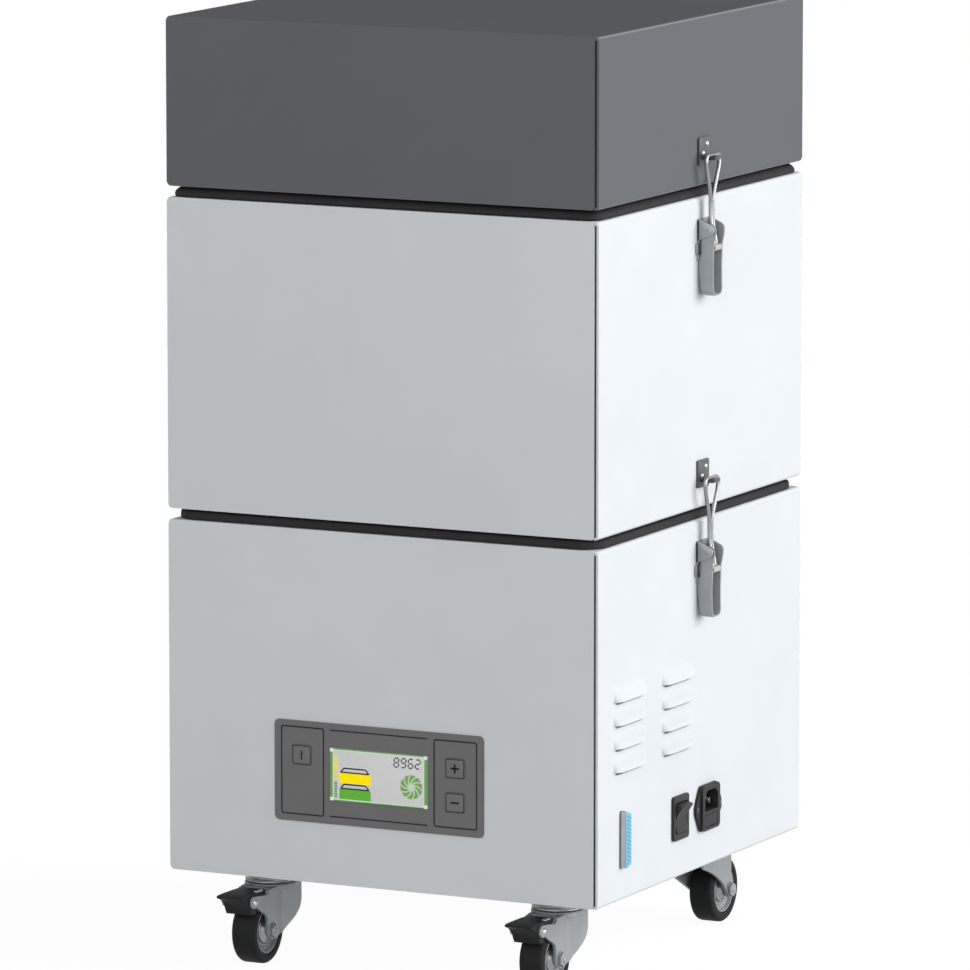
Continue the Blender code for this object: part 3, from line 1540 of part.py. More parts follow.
def castor_fork(name, braked):
    crown_bottom = -CROWN_TOP - CROWN_DEPTH
    profile = (
        (0.0, -CROWN_TOP),
        (RACEWAY_RADIUS - CROWN_DEPTH / 2, -CROWN_TOP),
        (RACEWAY_RADIUS, -CROWN_TOP - CROWN_DEPTH / 2),
        (RACEWAY_RADIUS, crown_bottom),
        (0.0, crown_bottom),
    )
    pieces = [settled(turned(name, profile, ROUND_FACETS, parts))]
    outside = LEG_INSIDE + LEG_SHEET
    pieces.append(
        block(
            "fork_bridge",
            (-outside, -LEG_BACK, crown_bottom),
            (outside, LEG_BACK, crown_bottom + LEG_SHEET),
            cutters,
        )
    )
    for side in (-1, 1):
        leg = outline("fork_leg", leg_outline(braked), LEG_SHEET, cutters)
        moved(leg, FACING_RIGHT)
        shift = side * (LEG_INSIDE + LEG_SHEET / 2)
        pieces.append(moved(leg, Matrix.Translation((shift, 0, 0))))
    axle_z = TYRE_RADIUS - CASTOR_HEIGHT
    bars = [(-CASTOR_TRAIL, axle_z, AXLE_RADIUS, AXLE_HEAD_RADIUS, AXLE_HEAD_REACH)]
    if braked:
        head = PEDAL_PIN_RADIUS * 1.6
        reach = outside + PEDAL_PIN_RADIUS
        bars.append((-PEDAL_PIVOT_Y, -PEDAL_PIVOT_DROP, PEDAL_PIN_RADIUS, head, reach))
    for y, z, radius, head_radius, reach in bars:
        ends = ((-outside, y, z), (outside, y, z))
        pieces.append(cylinder("fork_bar", *ends, radius, SMALL_FACETS, cutters))
        for side in (-1, 1):
            head_start = (side * (outside - LEG_SHEET / 2), y, z)
            head_end = (side * reach, y, z)
            pieces.append(
                cylinder("fork_head", head_start, head_end, head_radius, SMALL_FACETS, cutters)
            )
    return united(name, pieces)


def castor_tyre():
    half = TYRE_WIDTH / 2
    shoulder = TYRE_SHOULDER
    radius = TYRE_RADIUS / cos(pi / WHEEL_FACETS)
    inner = RIM_RADIUS + GAP
    profile = [
        (radius - shoulder, half),
        (radius - shoulder * 0.3, half - shoulder * 0.3),
        (radius, half - shoulder),
        (radius, shoulder - half),
        (radius - shoulder * 0.3, shoulder * 0.3 - half),
        (radius - shoulder, -half),
        (inner, -half),
        (inner, half),
    ]
    tyre = settled(turned("castor_tyre", profile, WHEEL_FACETS, parts, closed=True))
    return wheel_pose(tyre)


def castor_rim():
    half = RIM_WIDTH / 2
    well = (RIM_RADIUS + WHEEL_HUB_RADIUS) / 2
    lip = RIM_RADIUS * 0.90
    bore = AXLE_RADIUS + GAP
    web = WEB_HALF_THICKNESS
    side = [
        (bore, HUB_HALF_LENGTH),
        (WHEEL_HUB_RADIUS, HUB_HALF_LENGTH),
        (WHEEL_HUB_RADIUS * 1.08, web * 1.5),
        (well, web),
        (lip, half),
        (RIM_RADIUS, half),
    ]
    profile = side + [(radius, -level) for radius, level in side[::-1]]
    rim = settled(turned("castor_rim", profile, ROUND_FACETS, parts, closed=True))
    return wheel_pose(rim)


def wheel_pose(wheel):
    """Turns a wheel's axis from Z to X, with a flat facet below."""
    moved(wheel, Matrix.Rotation(pi / WHEEL_FACETS, 4, "Z"))
    return moved(wheel, Matrix.Rotation(radians(90.0), 4, "Y"))


def brake_pedal():
    """A black pedal, drawn from the side, with its brake shoe above the tyre."""
    pivot = Vector((-PEDAL_PIVOT_Y, -PEDAL_PIVOT_DROP))
    top = -PEDAL_TOP_DROP
    tip = PEDAL_TOP_DROP * 0.10
    shoe_bottom = pivot.y - PEDAL_PIVOT_DROP * 0.47
    reach = PEDAL_REACH - PEDAL_PIVOT_Y
    points = [
        (-PEDAL_PIVOT_Y + reach * 1.22, top),
        (-PEDAL_REACH + tip, top),
        (-PEDAL_REACH, top - tip),
        (-PEDAL_REACH + tip, top - tip * 2.0),
        (-PEDAL_PIVOT_Y - reach * 0.50, top - tip * 3.2),
        (-PEDAL_PIVOT_Y - reach * 0.27, pivot.y - tip * 1.2),
        (-PEDAL_PIVOT_Y - reach * 0.14, pivot.y - tip * 4.2),
        (-PEDAL_PIVOT_Y - reach * 0.06, shoe_bottom),
        (-PEDAL_PIVOT_Y + reach * 0.34, shoe_bottom),
        (-PEDAL_PIVOT_Y + reach * 0.40, pivot.y - tip * 3.2),
        (-PEDAL_PIVOT_Y + reach * 0.58, pivot.y + tip * 0.8),
        (-PEDAL_PIVOT_Y + reach * 1.22, top - tip * 2.2),
    ]
    pedal = outline("pedal", points, PEDAL_HALF_WIDTH * 2, parts)
    moved(pedal, FACING_RIGHT)
    moved(pedal, Matrix.Translation((0, PEDAL_PIVOT_Y, PEDAL_PIVOT_DROP)))
    hole = cylinder(
        "pedal_hole",
        (-PEDAL_HALF_WIDTH - OVERRUN, 0, 0),
        (PEDAL_HALF_WIDTH + OVERRUN, 0, 0),
        PEDAL_PIN_RADIUS + GAP,
        SMALL_FACETS,
        cutters,
    )
    combine(pedal, hole, "DIFFERENCE")
    return baked(pedal)


def make_castors(parent):
    zinc = paint("fork_steel", ZINC_STEEL)
    head, tyre, rim, pedal = castor_head(), castor_tyre(), castor_rim(), brake_pedal()
    forks = {True: castor_fork("fork_braked", True), False: castor_fork("fork_plain", False)}
    for label, x_side, y_side in (
        ("front_left", -1, -1),
        ("front_right", 1, -1),
        ("rear_left", -1, 1),
        ("rear_right", 1, 1),
    ):
        braked = y_side < 0
        turn = 0.0 if braked else pi
        place = (x_side * CASTOR_X, y_side * CASTOR_Y, BASE_BOTTOM)
        swivel = empty(f"castor_{label}", place, turn, parent)
        placed_copy(f"castor_head_{label}", head, zinc, swivel)
        placed_copy(f"castor_fork_{label}", forks[braked], zinc, swivel)
        axle_place = (0.0, -CASTOR_TRAIL, TYRE_RADIUS - CASTOR_HEIGHT)
        axle = empty(f"castor_axle_{label}", axle_place, 0.0, swivel)
        placed_copy(f"castor_rim_{label}", rim, paint("hub_steel", HUB_STEEL), axle)
        placed_copy(f"castor_tyre_{label}", tyre, paint("tyre_rubber", TYRE_RUBBER), axle)
        if braked:
            pin_place = (0.0, -PEDAL_PIVOT_Y, -PEDAL_PIVOT_DROP)
            pin = empty(f"pedal_pin_{label}", pin_place, 0.0, swivel)
            black = paint("pedal_plastic", PEDAL_PLASTIC)
            placed_copy(f"brake_pedal_{label}", pedal, black, pin)
    for source in (head, tyre, rim, pedal, *forks.values()):
        bpy.data.objects.remove(source, do_unlink=True)


clear_scene()
parts = new_collection("portable_air_filter")
cutters = new_collection("cutters")
cabinet = empty("cabinet", (0.0, 0.0, 0.0))
make_castors(cabinet)
make_base(cabinet)
make_blower(cabinet)
make_filter_module(cabinet)
make_seals(cabinet)
make_lid(cabinet)
make_hose_socket(cabinet)
make_control_panel(cabinet)
make_switch(cabinet)
make_mains_inlet(cabinet)
make_connector(cabinet)
make_latches(cabinet)
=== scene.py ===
"""A portable air filter in a plain pale studio: a slate lid, a light filter module and a light
blower base on castors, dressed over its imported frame. Lengths are metres."""

from math import cos, pi, radians, sin, sqrt

import bmesh
import bpy
from mathutils import Euler, Matrix, Vector


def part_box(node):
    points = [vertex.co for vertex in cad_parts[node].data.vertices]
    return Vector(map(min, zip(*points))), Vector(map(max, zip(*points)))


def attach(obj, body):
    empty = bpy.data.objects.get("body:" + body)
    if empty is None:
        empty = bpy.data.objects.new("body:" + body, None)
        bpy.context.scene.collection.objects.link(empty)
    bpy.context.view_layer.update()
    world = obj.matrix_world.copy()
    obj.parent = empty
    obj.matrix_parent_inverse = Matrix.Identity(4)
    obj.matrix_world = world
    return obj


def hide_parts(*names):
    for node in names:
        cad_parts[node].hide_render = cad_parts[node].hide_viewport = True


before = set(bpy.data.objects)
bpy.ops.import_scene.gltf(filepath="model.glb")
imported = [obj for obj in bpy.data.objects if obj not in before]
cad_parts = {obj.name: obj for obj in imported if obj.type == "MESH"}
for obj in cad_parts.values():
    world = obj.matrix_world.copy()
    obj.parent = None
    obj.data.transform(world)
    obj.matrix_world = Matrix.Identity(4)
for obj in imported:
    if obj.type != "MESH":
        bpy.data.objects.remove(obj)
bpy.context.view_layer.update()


# Studio
# A pale floor that keeps the cabinet's shadow, a white surrounding, a broad lamp at the right
# and a soft one in front. The camera is a long lens, a little above the lid and to the right.
OBJECT_PLACE = 3


class Shade:
    """One socket of a shader tree, so that shader sums are written as plain sums."""

    def __init__(self, tree, socket):
        self.tree = tree
        self.socket = socket

    def node(self, kind, settings, sockets, output=0):
        """Adds a node: its settings first, then the values or links of its sockets."""
        made = self.tree.nodes.new("ShaderNode" + kind)
        for key, value in settings.items():
            if key == "stops":
                ramp = made.color_ramp
                while len(ramp.elements) < len(value):
                    ramp.elements.new(1.0)
                for stop, (place, colour) in zip(ramp.elements, value):
                    stop.position = place
                    stop.color = (*colour, 1.0)
            else:
                setattr(made, key, value)
        for key, value in sockets.items():
            if isinstance(value, Shade):
                self.tree.links.new(value.socket, made.inputs[key])
            else:
                made.inputs[key].default_value = value
        return Shade(self.tree, made.outputs[output])

    def sum(self, operation, first, second):
        """A Math node on values, a Vector Math node on vectors and a Mix node on colours."""
        if self.socket.type == "VALUE":
            return self.node("Math", {"operation": operation}, {0: first, 1: second})
        if self.socket.type == "VECTOR":
            return self.node("VectorMath", {"operation": operation}, {0: first, 1: second})
        settings = {"data_type": "RGBA", "blend_type": operation}
        if isinstance(second, (int, float)):
            second = (second, second, second, 1.0)
        return self.node("Mix", settings, {0: 1.0, 6: first, 7: second}, 2)

    def __add__(self, other):
        return self.sum("ADD", self, other)

    __radd__ = __add__

    def __sub__(self, other):
        return self.sum("SUBTRACT", self, other)

    def __rsub__(self, other):
        return self.sum("SUBTRACT", other, self)

    def __mul__(self, other):
        return self.sum("MULTIPLY", self, other)

    __rmul__ = __mul__

    def blend(self, low, high):
        """From one colour to another as this value goes from 0 to 1."""
        colours = [c if isinstance(c, Shade) else (*c, 1.0) for c in (low, high)]
        sockets = {0: self, 6: colours[0], 7: colours[1]}
        return self.node("Mix", {"data_type": "RGBA"}, sockets, 2)

    def ramp(self, low, high):
        """0 below low and 1 above high, straight between them."""
        sockets = {"Value": self, "From Min": low, "From Max": high}
        return self.node("MapRange", {"clamp": True}, sockets)

    def noise(self, scale, detail=2.0, stretch=(1.0, 1.0, 1.0)):
        """Even noise over the piece, in lumps per metre, drawn out along an axis by stretch."""
        place = self.node("TexCoord", {}, {}, OBJECT_PLACE)
        place = self.node("Mapping", {}, {"Vector": place, "Scale": stretch})
        sockets = {"Vector": place, "Scale": scale, "Detail": detail}
        return self.node("TexNoise", {}, sockets)

    def bump(self, height, depth, strength=1.0):
        """A normal from a height between 0 and 1, as deep as depth."""
        sockets = {"Height": height, "Distance": depth, "Strength": strength}
        return self.node("Bump", {}, sockets)


def socket_of(shader, key):
    """The shader's input whose name a keyword spells with underscores."""
    return next(s for s in shader.inputs if s.name.lower() == key.replace("_", " "))


def new_finish(name, **constants):
    """A named finish with its constants on the shader, and a first socket to build sums from."""
    made = bpy.data.materials.new(name)
    made.use_nodes = True
    shader = made.node_tree.nodes["Principled BSDF"]
    for key, value in constants.items():
        socket_of(shader, key).default_value = value
    return shader, Shade(made.node_tree, shader.outputs[0])


def feed(shader, **sums):
    """Links what varies over a surface to its shader sockets, and returns the finish."""
    tree = shader.id_data
    for key, value in sums.items():
        tree.links.new(value.socket, socket_of(shader, key))
    return next(m for m in bpy.data.materials if m.node_tree == tree)


CAMERA_RAY, GLOSSY_RAY, TRANSMISSION_RAY = 0, 3, 6
WHITE = (1.0, 1.0, 1.0, 1.0)


def white_behind(tree, shader, end, kind, level, share):
    """Mixes plain white into what the camera, gloss and glass see of a floor or a sky."""
    start = Shade(tree, shader.outputs[0])
    seen_by = start.node("LightPath", {}, {}, CAMERA_RAY)
    for ray in (GLOSSY_RAY, TRANSMISSION_RAY):
        other = start.node("LightPath", {}, {}, ray)
        seen_by = start.node("Math", {"operation": "MAXIMUM"}, {0: seen_by, 1: other})
    white = start.node(kind, {}, {"Color": WHITE, "Strength": level})
    mixed = start.node("MixShader", {}, {0: seen_by * share, 1: start, 2: white})
    tree.links.new(mixed.socket, tree.nodes[end].inputs[0])


scene = bpy.context.scene
scene.view_settings.view_transform = "Standard"

world = bpy.data.worlds.new("studio")
scene.world = world
world.use_nodes = True
sky = world.node_tree.nodes["Background"]
ROOM_LEVEL = 0.22
sky.inputs["Color"].default_value = (ROOM_LEVEL, ROOM_LEVEL, ROOM_LEVEL * 1.01, 1.0)
white_behind(world.node_tree, sky, "World Output", "Background", 1.0, 1.0)

FLOOR_HALF_SIDE = 6.0
FLOOR_GLOW = 0.86
FLOOR_LEVEL = 1.10
bm = bmesh.new()
bmesh.ops.create_grid(bm, x_segments=1, y_segments=1, size=FLOOR_HALF_SIDE)
floor_mesh = bpy.data.meshes.new("studio_floor")
bm.to_mesh(floor_mesh)
bm.free()
floor = bpy.data.objects.new("studio_floor", floor_mesh)
scene.collection.objects.link(floor)
floor_shader, floor_start = new_finish("pale_floor", roughness=0.9)
floor_tone = floor_start.noise(9.0).blend((0.54, 0.54, 0.54), (0.58, 0.58, 0.58))
floor_finish = feed(floor_shader, base_color=floor_tone)
floor_tree = floor_shader.id_data
white_behind(floor_tree, floor_shader, "Material Output", "Emission", FLOOR_LEVEL, FLOOR_GLOW)
floor_mesh.materials.append(floor_finish)


def lamp(name, towards, strength, softness):
    """A broad lamp far away, in the direction that it shines from."""
    light = bpy.data.lights.new(name, "SUN")
    light.energy = strength
    light.angle = radians(softness)
    made = bpy.data.objects.new(name, light)
    made.rotation_euler = Vector(towards).to_track_quat("Z", "Y").to_euler()
    scene.collection.objects.link(made)


lamp("side_lamp", (0.88, 0.24, 0.26), 3.44, 56.0)
lamp("front_lamp", (0.10, -0.95, 0.16), 1.78, 70.0)

LENS = 327.023
CAMERA_PLACE = (2.87834, -5.79032, 1.32786)
CAMERA_TILT = 81.357
CAMERA_TURN = 26.4527
camera = bpy.data.objects.new("camera", bpy.data.cameras.new("camera"))
camera.data.lens = LENS
camera.data.clip_end = 60.0
camera.location = CAMERA_PLACE
camera.rotation_euler = Euler((radians(CAMERA_TILT), 0.0, radians(CAMERA_TURN)))
scene.collection.objects.link(camera)
scene.camera = camera


# Folded sheets
# The lid, the filter module and the base are each a wrap of 1.2 mm sheet steel, folded at the
# edges, with a front sheet let into its open side, all powder coated. A black strip laid in the
# seam along the right edge of each front sheet is painted shadow that keeps the gap dark.
def toned(colour, by):
    """A colour made darker or lighter by a factor."""
    return tuple(min(1.0, by * c) for c in colour)


def mottled(share, colour, by, low=0.3, high=0.7):
    """A colour that goes a little darker and lighter with a share from 0 to 1."""
    return share.ramp(low, high).blend(toned(colour, 1.0 - by), toned(colour, 1.0 + by))


def powder_coat(name, colour, folds=()):
    """A satin powder coat: faint cloudiness, an orange peel, a fine grain and painted fold highlights.
    """
    shader, start = new_finish(name, specular_ior_level=0.0)
    cloud = start.noise(14.0, 3.0)
    peel = start.noise(420.0, 2.0)
    grain = start.noise(2600.0, 1.0)
    tone = mottled(cloud * 0.7 + grain * 0.3, colour, 0.025)
    # Painted highlight: the coat is made lighter on the rounded side folds at each level, as if they
    # caught the lamp.
    for level in folds:
        place = start.node("TexCoord", {}, {}, OBJECT_PLACE)
        aside, above = (start.node("SeparateXYZ", {}, {0: place}, axis) for axis in (0, 2))
        aside, above = (
            start.node("Math", {"operation": "ABSOLUTE"}, {0: value})
            for value in (aside, above - level)
        )
        near_side = aside.ramp(CASE_HALF - FOLD_HIGHLIGHT_WIDTH * 1.3, CASE_HALF - FOLD_HIGHLIGHT_WIDTH * 0.7)
        near_level = above.ramp(FOLD_HIGHLIGHT_WIDTH * 1.6, FOLD_HIGHLIGHT_WIDTH)
        tone = (near_side * near_level).blend(tone, toned(colour, FOLD_HIGHLIGHT_GAIN))
    relief = start.bump(peel * 0.7 + grain * 0.3, 0.00003, 0.6)
    return feed(shader, base_color=tone, roughness=0.40 + 0.14 * peel, normal=relief)


def moulded(name, colour, roughness, fleck=0.06, scale=700.0, depth=0.00003):
    """Moulded plastic or rubber: an even colour with a fine spark texture."""
    shader, start = new_finish(name, specular_ior_level=0.12)
    spark = start.noise(scale, 3.0)
    cloud = start.noise(45.0, 2.0)
    tone = mottled(spark * 0.5 + cloud * 0.5, colour, fleck, 0.35, 0.65)
    relief = start.bump(spark, depth, 0.5)
    gloss = roughness - 0.05 + 0.10 * spark
    return feed(shader, base_color=tone, roughness=gloss, normal=relief)


def new_piece(name, bm, finish=None, smooth=32.0):
    """A named piece from a built mesh, with its round faces shaded smooth."""
    mesh = bpy.data.meshes.new(name)
    bmesh.ops.recalc_face_normals(bm, faces=bm.faces[:])
    bm.to_mesh(mesh)
    bm.free()
    mesh.shade_smooth()
    mesh.set_sharp_from_angle(angle=radians(smooth))
    if finish:
        mesh.materials.append(finish)
    made = bpy.data.objects.new(name, mesh)
    scene.collection.objects.link(made)
    return made


def ease(bm, edges, by, steps):
    """Rounds the given edges of a mesh."""
    bmesh.ops.bevel(
        bm, geom=edges, offset=by, segments=steps, profile=0.5, affect="EDGES", clamp_overlap=True
    )


def box_mesh(low, high, round_by=0.0, steps=3):
    """A block between two corners, with all its edges rounded."""
    bm = bmesh.new()
    bmesh.ops.create_cube(bm, size=1.0)
    for vert in bm.verts:
        share = vert.co + Vector((0.5, 0.5, 0.5))
        vert.co = [a + (b - a) * s for a, b, s in zip(low, high, share)]
    if round_by:
        ease(bm, bm.edges[:], round_by, steps)
    return bm


def on_plane(plane, across, up, depth):
    """A point of a flat outline that faces the front, the side or the top."""
    places = {"front": (across, depth, up), "side": (depth, across, up), "top": (across, up, depth)}
    return places[plane]


def prism(points, start, end, plane="front"):
    """A flat outline drawn out along the axis that it faces."""
    bm = bmesh.new()
    rings = [[bm.verts.new(on_plane(plane, *p, depth)) for p in points] for depth in (start, end)]
    for ring in rings:
        bm.faces.new(ring)
    for i in range(len(points)):
        j = (i + 1) % len(points)
        bm.faces.new((rings[0][i], rings[0][j], rings[1][j], rings[1][i]))
    return bm


def rounded(half_across, half_up, radius, middle=(0.0, 0.0), steps=5):
    """The outline of a rectangle with round corners."""
    points = []
    for turn, across, up in ((0, 1, 1), (1, -1, 1), (2, -1, -1), (3, 1, -1)):
        for i in range(steps + 1):
            angle = (turn + i / steps) * pi / 2
            corner_across = middle[0] + across * (half_across - radius)
            corner_up = middle[1] + up * (half_up - radius)
            point = (corner_across + radius * cos(angle), corner_up + radius * sin(angle))
            points.append(point)
    return points


def arc(middle, radius, start, end, steps=8):
    """Points round part of a circle, by angles in degrees."""
    turns = [radians(start + (end - start) * i / steps) for i in range(steps + 1)]
    return [(middle[0] + radius * cos(t), middle[1] + radius * sin(t)) for t in turns]


def plate(points, start, end, plane, soften=0.0, steps=2):
    """A flat outline drawn out, with the edges of its two faces eased."""
    bm = prism(points, start, end, plane)
    bm.faces.ensure_lookup_table()
    if soften:
        ease(bm, [edge for face in bm.faces[:2] for edge in face.edges], soften, steps)
    return bm


def settle(obj, smooth=32.0):
    """Applies a piece's modifiers, so that its cutters can go."""
    graph = bpy.context.evaluated_depsgraph_get()
    mesh = bpy.data.meshes.new_from_object(obj.evaluated_get(graph))
    mesh.name = obj.name
    spent = [m.object for m in obj.modifiers if m.type == "BOOLEAN"]
    obj.modifiers.clear()
    obj.data = mesh
    mesh.shade_smooth()
    mesh.set_sharp_from_angle(angle=radians(smooth))
    for cutter in spent:
        bpy.data.objects.remove(cutter, do_unlink=True)
    even = obj.modifiers.new("even_shading", "WEIGHTED_NORMAL")
    even.keep_sharp = True
    return obj


def combine(obj, bm, operation="DIFFERENCE"):
    """Cuts one built mesh from a piece, or joins it on."""
    modifier = obj.modifiers.new(operation.lower(), "BOOLEAN")
    modifier.operation = operation
    modifier.solver = "EXACT"
    modifier.object = new_piece(f"{obj.name}_{len(obj.modifiers)}", bm)


def ride(piece, body, slot, *nodes):
    """The piece moves with a body and stands for the named nodes, which are hidden. The slot is not
    used.
    """
    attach(piece, body)
    if nodes:
        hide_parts(*nodes)
    return piece


CASE_HALF = 0.1750
SHEET = 0.0012
FOLD = 0.0012
HEM = 0.0018
SEAM = 0.0015
FRONT_SET = 0.0033
FRONT_EDGE = 0.0013
EDGE_ROUND = 0.0026
RETURN = 0.0120
OVERRUN = 0.0020
GAP = 0.0003
SEAM_FOOT = 0.0022
SEAM_HEAD = 0.0028

# Width and gain of the painted highlight on the lid's side folds.
FOLD_HIGHLIGHT_WIDTH = 0.0010
FOLD_HIGHLIGHT_GAIN = 1.9
# How far behind the front the painted-shadow strip in each seam begins.
SEAM_SHADOW_DEPTH = 0.0007
lid_levels = [corner.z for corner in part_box("lid_shell")]
# Black finish of the painted-shadow strip in the seams.
seam_shadow_finish = moulded("seam_strip_rubber", (0.012, 0.012, 0.013), 0.70)
# The slate coat carries the painted fold highlight at the lid's top and bottom levels.
slate_coat = powder_coat("slate_powder_coat", (0.139, 0.147, 0.157), lid_levels)
light_coat = powder_coat("light_powder_coat", (0.672, 0.704, 0.730))


def folded_wrap(name, node, coat, slot, upper_flange, lower_flange):
    """Side, back, top and bottom sheets in one, open in front but for a narrow return."""
    low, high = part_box(node)
    half = CASE_HALF
    room_front = FRONT_SET + SHEET - half
    middle, half_up = (low.z + high.z) / 2, (high.z - low.z) / 2
    outline = rounded(half, half_up, EDGE_ROUND, (0.0, middle), 6)
    wrap = new_piece(name, plate(outline, -half, half, "front", FOLD, 4), coat)
    room = ((SHEET - half, room_front, low.z + SHEET), (half - SHEET, half - SHEET, high.z - SHEET))
    combine(wrap, box_mesh(*room))
    mouth = (
        (RETURN - half, -half - OVERRUN, low.z + RETURN),
        (half - RETURN, room_front + OVERRUN, high.z - RETURN),
    )
    combine(wrap, box_mesh(*mouth))
    for flange, level in ((upper_flange, high.z), (lower_flange, low.z)):
        if flange:
            wide = half - flange
            reach = SHEET + OVERRUN
            corners = ((-wide, -wide, level - reach), (wide, wide, level + reach))
            combine(wrap, box_mesh(*corners))
    wide = half - HEM
    narrow = wide - SEAM
    foot, head = low.z - OVERRUN, high.z + OVERRUN
    seam_low, seam_high = low.z + SEAM_FOOT, high.z - SEAM_HEAD
    seat = [(-half - OVERRUN, foot), (narrow, foot), (narrow, seam_low - GAP), (wide, seam_low)]
    seat += [(wide, seam_high), (narrow, seam_high + GAP), (narrow, head)]
    seat.append((-half - OVERRUN, head))
    combine(wrap, prism(seat, -half - OVERRUN, FRONT_SET - half))
    slit = (
        (narrow, FRONT_SET - OVERRUN - half, seam_low),
        (wide, room_front + OVERRUN, seam_high),
    )
    combine(wrap, box_mesh(*slit))
    return wrap


def front_sheet(name, node, coat):
    """The flat front sheet: round corners at the left edge, and a seam along the right one, with a
    black strip of painted shadow in the seam.
    """
    low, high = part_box(node)
    left, right = -CASE_HALF, CASE_HALF - HEM - SEAM - GAP / 3
    near, far = EDGE_ROUND, EDGE_ROUND * 0.7
    outline = arc((right - far, high.z - far), far, 0, 90, 6)
    outline += arc((left + near, high.z - near), near, 90, 180, 6)
    outline += arc((left + near, low.z + near), near, 180, 270, 6)
    outline += arc((right - far, low.z + far), far, 270, 360, 6)
    back = FRONT_SET - GAP / 3 - CASE_HALF
    hem = CASE_HALF - HEM
    # Painted shadow: a black strip set a little behind the front fills the seam, so that the gap reads
    # dark.
    strip = box_mesh(
        (hem - SEAM + GAP / 2, SEAM_SHADOW_DEPTH - CASE_HALF, low.z + SEAM_FOOT + GAP),
        (hem - GAP / 3, back, high.z - SEAM_HEAD - GAP),
    )
    ride(new_piece(f"{name}_seam_strip", strip, seam_shadow_finish), "cabinet", "black_rubber")
    return new_piece(name, plate(outline, -CASE_HALF, back, "front", FRONT_EDGE, 4), coat)


lid = folded_wrap("lid_wrap", "lid_shell", slate_coat, "slate_paint", 0.0, 0.0160)
hose_low, hose_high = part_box("hose_socket")
hose_level = (hose_low.z + hose_high.z) / 2
HOSE_HOLE = 0.0403


def round_bar(start, end, radius, facets=48):
    """A plain round bar between two points."""
    start, end = Vector(start), Vector(end)
    bm = bmesh.new()
    turn = (end - start).to_track_quat("Z", "Y").to_matrix().to_4x4()
    bmesh.ops.create_cone(
        bm,
        cap_ends=True,
        segments=facets,
        radius1=radius,
        radius2=radius,
        depth=(end - start).length,
        matrix=Matrix.Translation((start + end) / 2) @ turn,
    )
    return bm


combine(
    lid,
    round_bar(
        (0.0, CASE_HALF - SHEET - OVERRUN, hose_level),
        (0.0, CASE_HALF + OVERRUN, hose_level),
        HOSE_HOLE,
    ),
)
ride(settle(lid), "cabinet", "slate_paint", "lid_shell")
lid_face = front_sheet("lid_face", "lid_front", slate_coat)
ride(lid_face, "cabinet", "slate_paint", "lid_front")

filter_wrap = folded_wrap(
    "filter_wrap", "filter_box_shell", light_coat, "light_paint", 0.0160, 0.0290
)
ride(settle(filter_wrap), "cabinet", "light_paint", "filter_box_shell")
filter_face = front_sheet("filter_face", "filter_box_front", light_coat)
ride(filter_face, "cabinet", "light_paint", "filter_box_front")


# Base wrap
# The same folded wrap, with eight pressed louvres and the holes of the electrics on the right,
# and rows of exhaust slots in the back. Its front sheet has the window of the control panel.
LOUVRE_HALF = 0.0260
LOUVRE_RISE = 0.0115
LOUVRE_REACH = 0.0057
LOUVRE_SKIN = 0.0009
LOUVRE_COLUMNS = (-0.1228, -0.0413)
LOUVRE_LOWEST = 0.0961
LOUVRE_PITCH = 0.0172
LOUVRE_ROWS = 4
LOUVRE_BLUNT = 9
LOUVRE_SHOULDER = 0.7
LOUVRE_END = 0.65
LOUVRE_SLOT_DROP = 0.48
LOUVRE_SLOT_RISE = 0.55
LOUVRE_SLOT_START = -0.84
LOUVRE_SLOT_LENGTH = 1.80
LOUVRE_STEPS = 36
LOUVRE_ROUNDS = 12
EXHAUST_SLOT = (0.0350, 0.0050)
EXHAUST_PITCH = (0.0820, 0.0110)
EXHAUST_BOTTOM = 0.1500
EXHAUST_ROWS = 7

base_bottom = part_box("base_shell")[0].z
base = folded_wrap("base_wrap", "base_shell", light_coat, "light_paint", 0.0260, 0.0120)
louvre_levels = [
    (column, base_bottom + LOUVRE_LOWEST + row * LOUVRE_PITCH)
    for row in range(LOUVRE_ROWS)
    for column in LOUVRE_COLUMNS
]


def merged(*meshes):
    """Several built meshes as one."""
    whole = bmesh.new()
    for bm in meshes:
        spare = bpy.data.meshes.new("spare")
        bm.to_mesh(spare)
        bm.free()
        whole.from_mesh(spare)
        bpy.data.meshes.remove(spare)
    return whole


def louvre_fade(share):
    """How far a hood stands out along its length: full in the middle, nothing at the ends."""
    return max(0.0, 1.0 - abs(share) ** LOUVRE_BLUNT) ** LOUVRE_SHOULDER


def louvre_slot(column, lip):
    """The lens-shaped hole that the press leaves behind and just under a hood."""
    shares = [LOUVRE_SLOT_START + LOUVRE_SLOT_LENGTH * i / 24 for i in range(25)]
    lower, upper = [], []
    for share in shares:
        across = column + share * LOUVRE_HALF
        fade = louvre_fade(share)
        lower.append((across, lip - LOUVRE_REACH * LOUVRE_SLOT_DROP * fade))
        upper.append((across, lip + LOUVRE_RISE * LOUVRE_SLOT_RISE * fade + GAP))
    return prism(lower + upper[::-1], CASE_HALF - SHEET - OVERRUN, CASE_HALF + OVERRUN, "side")


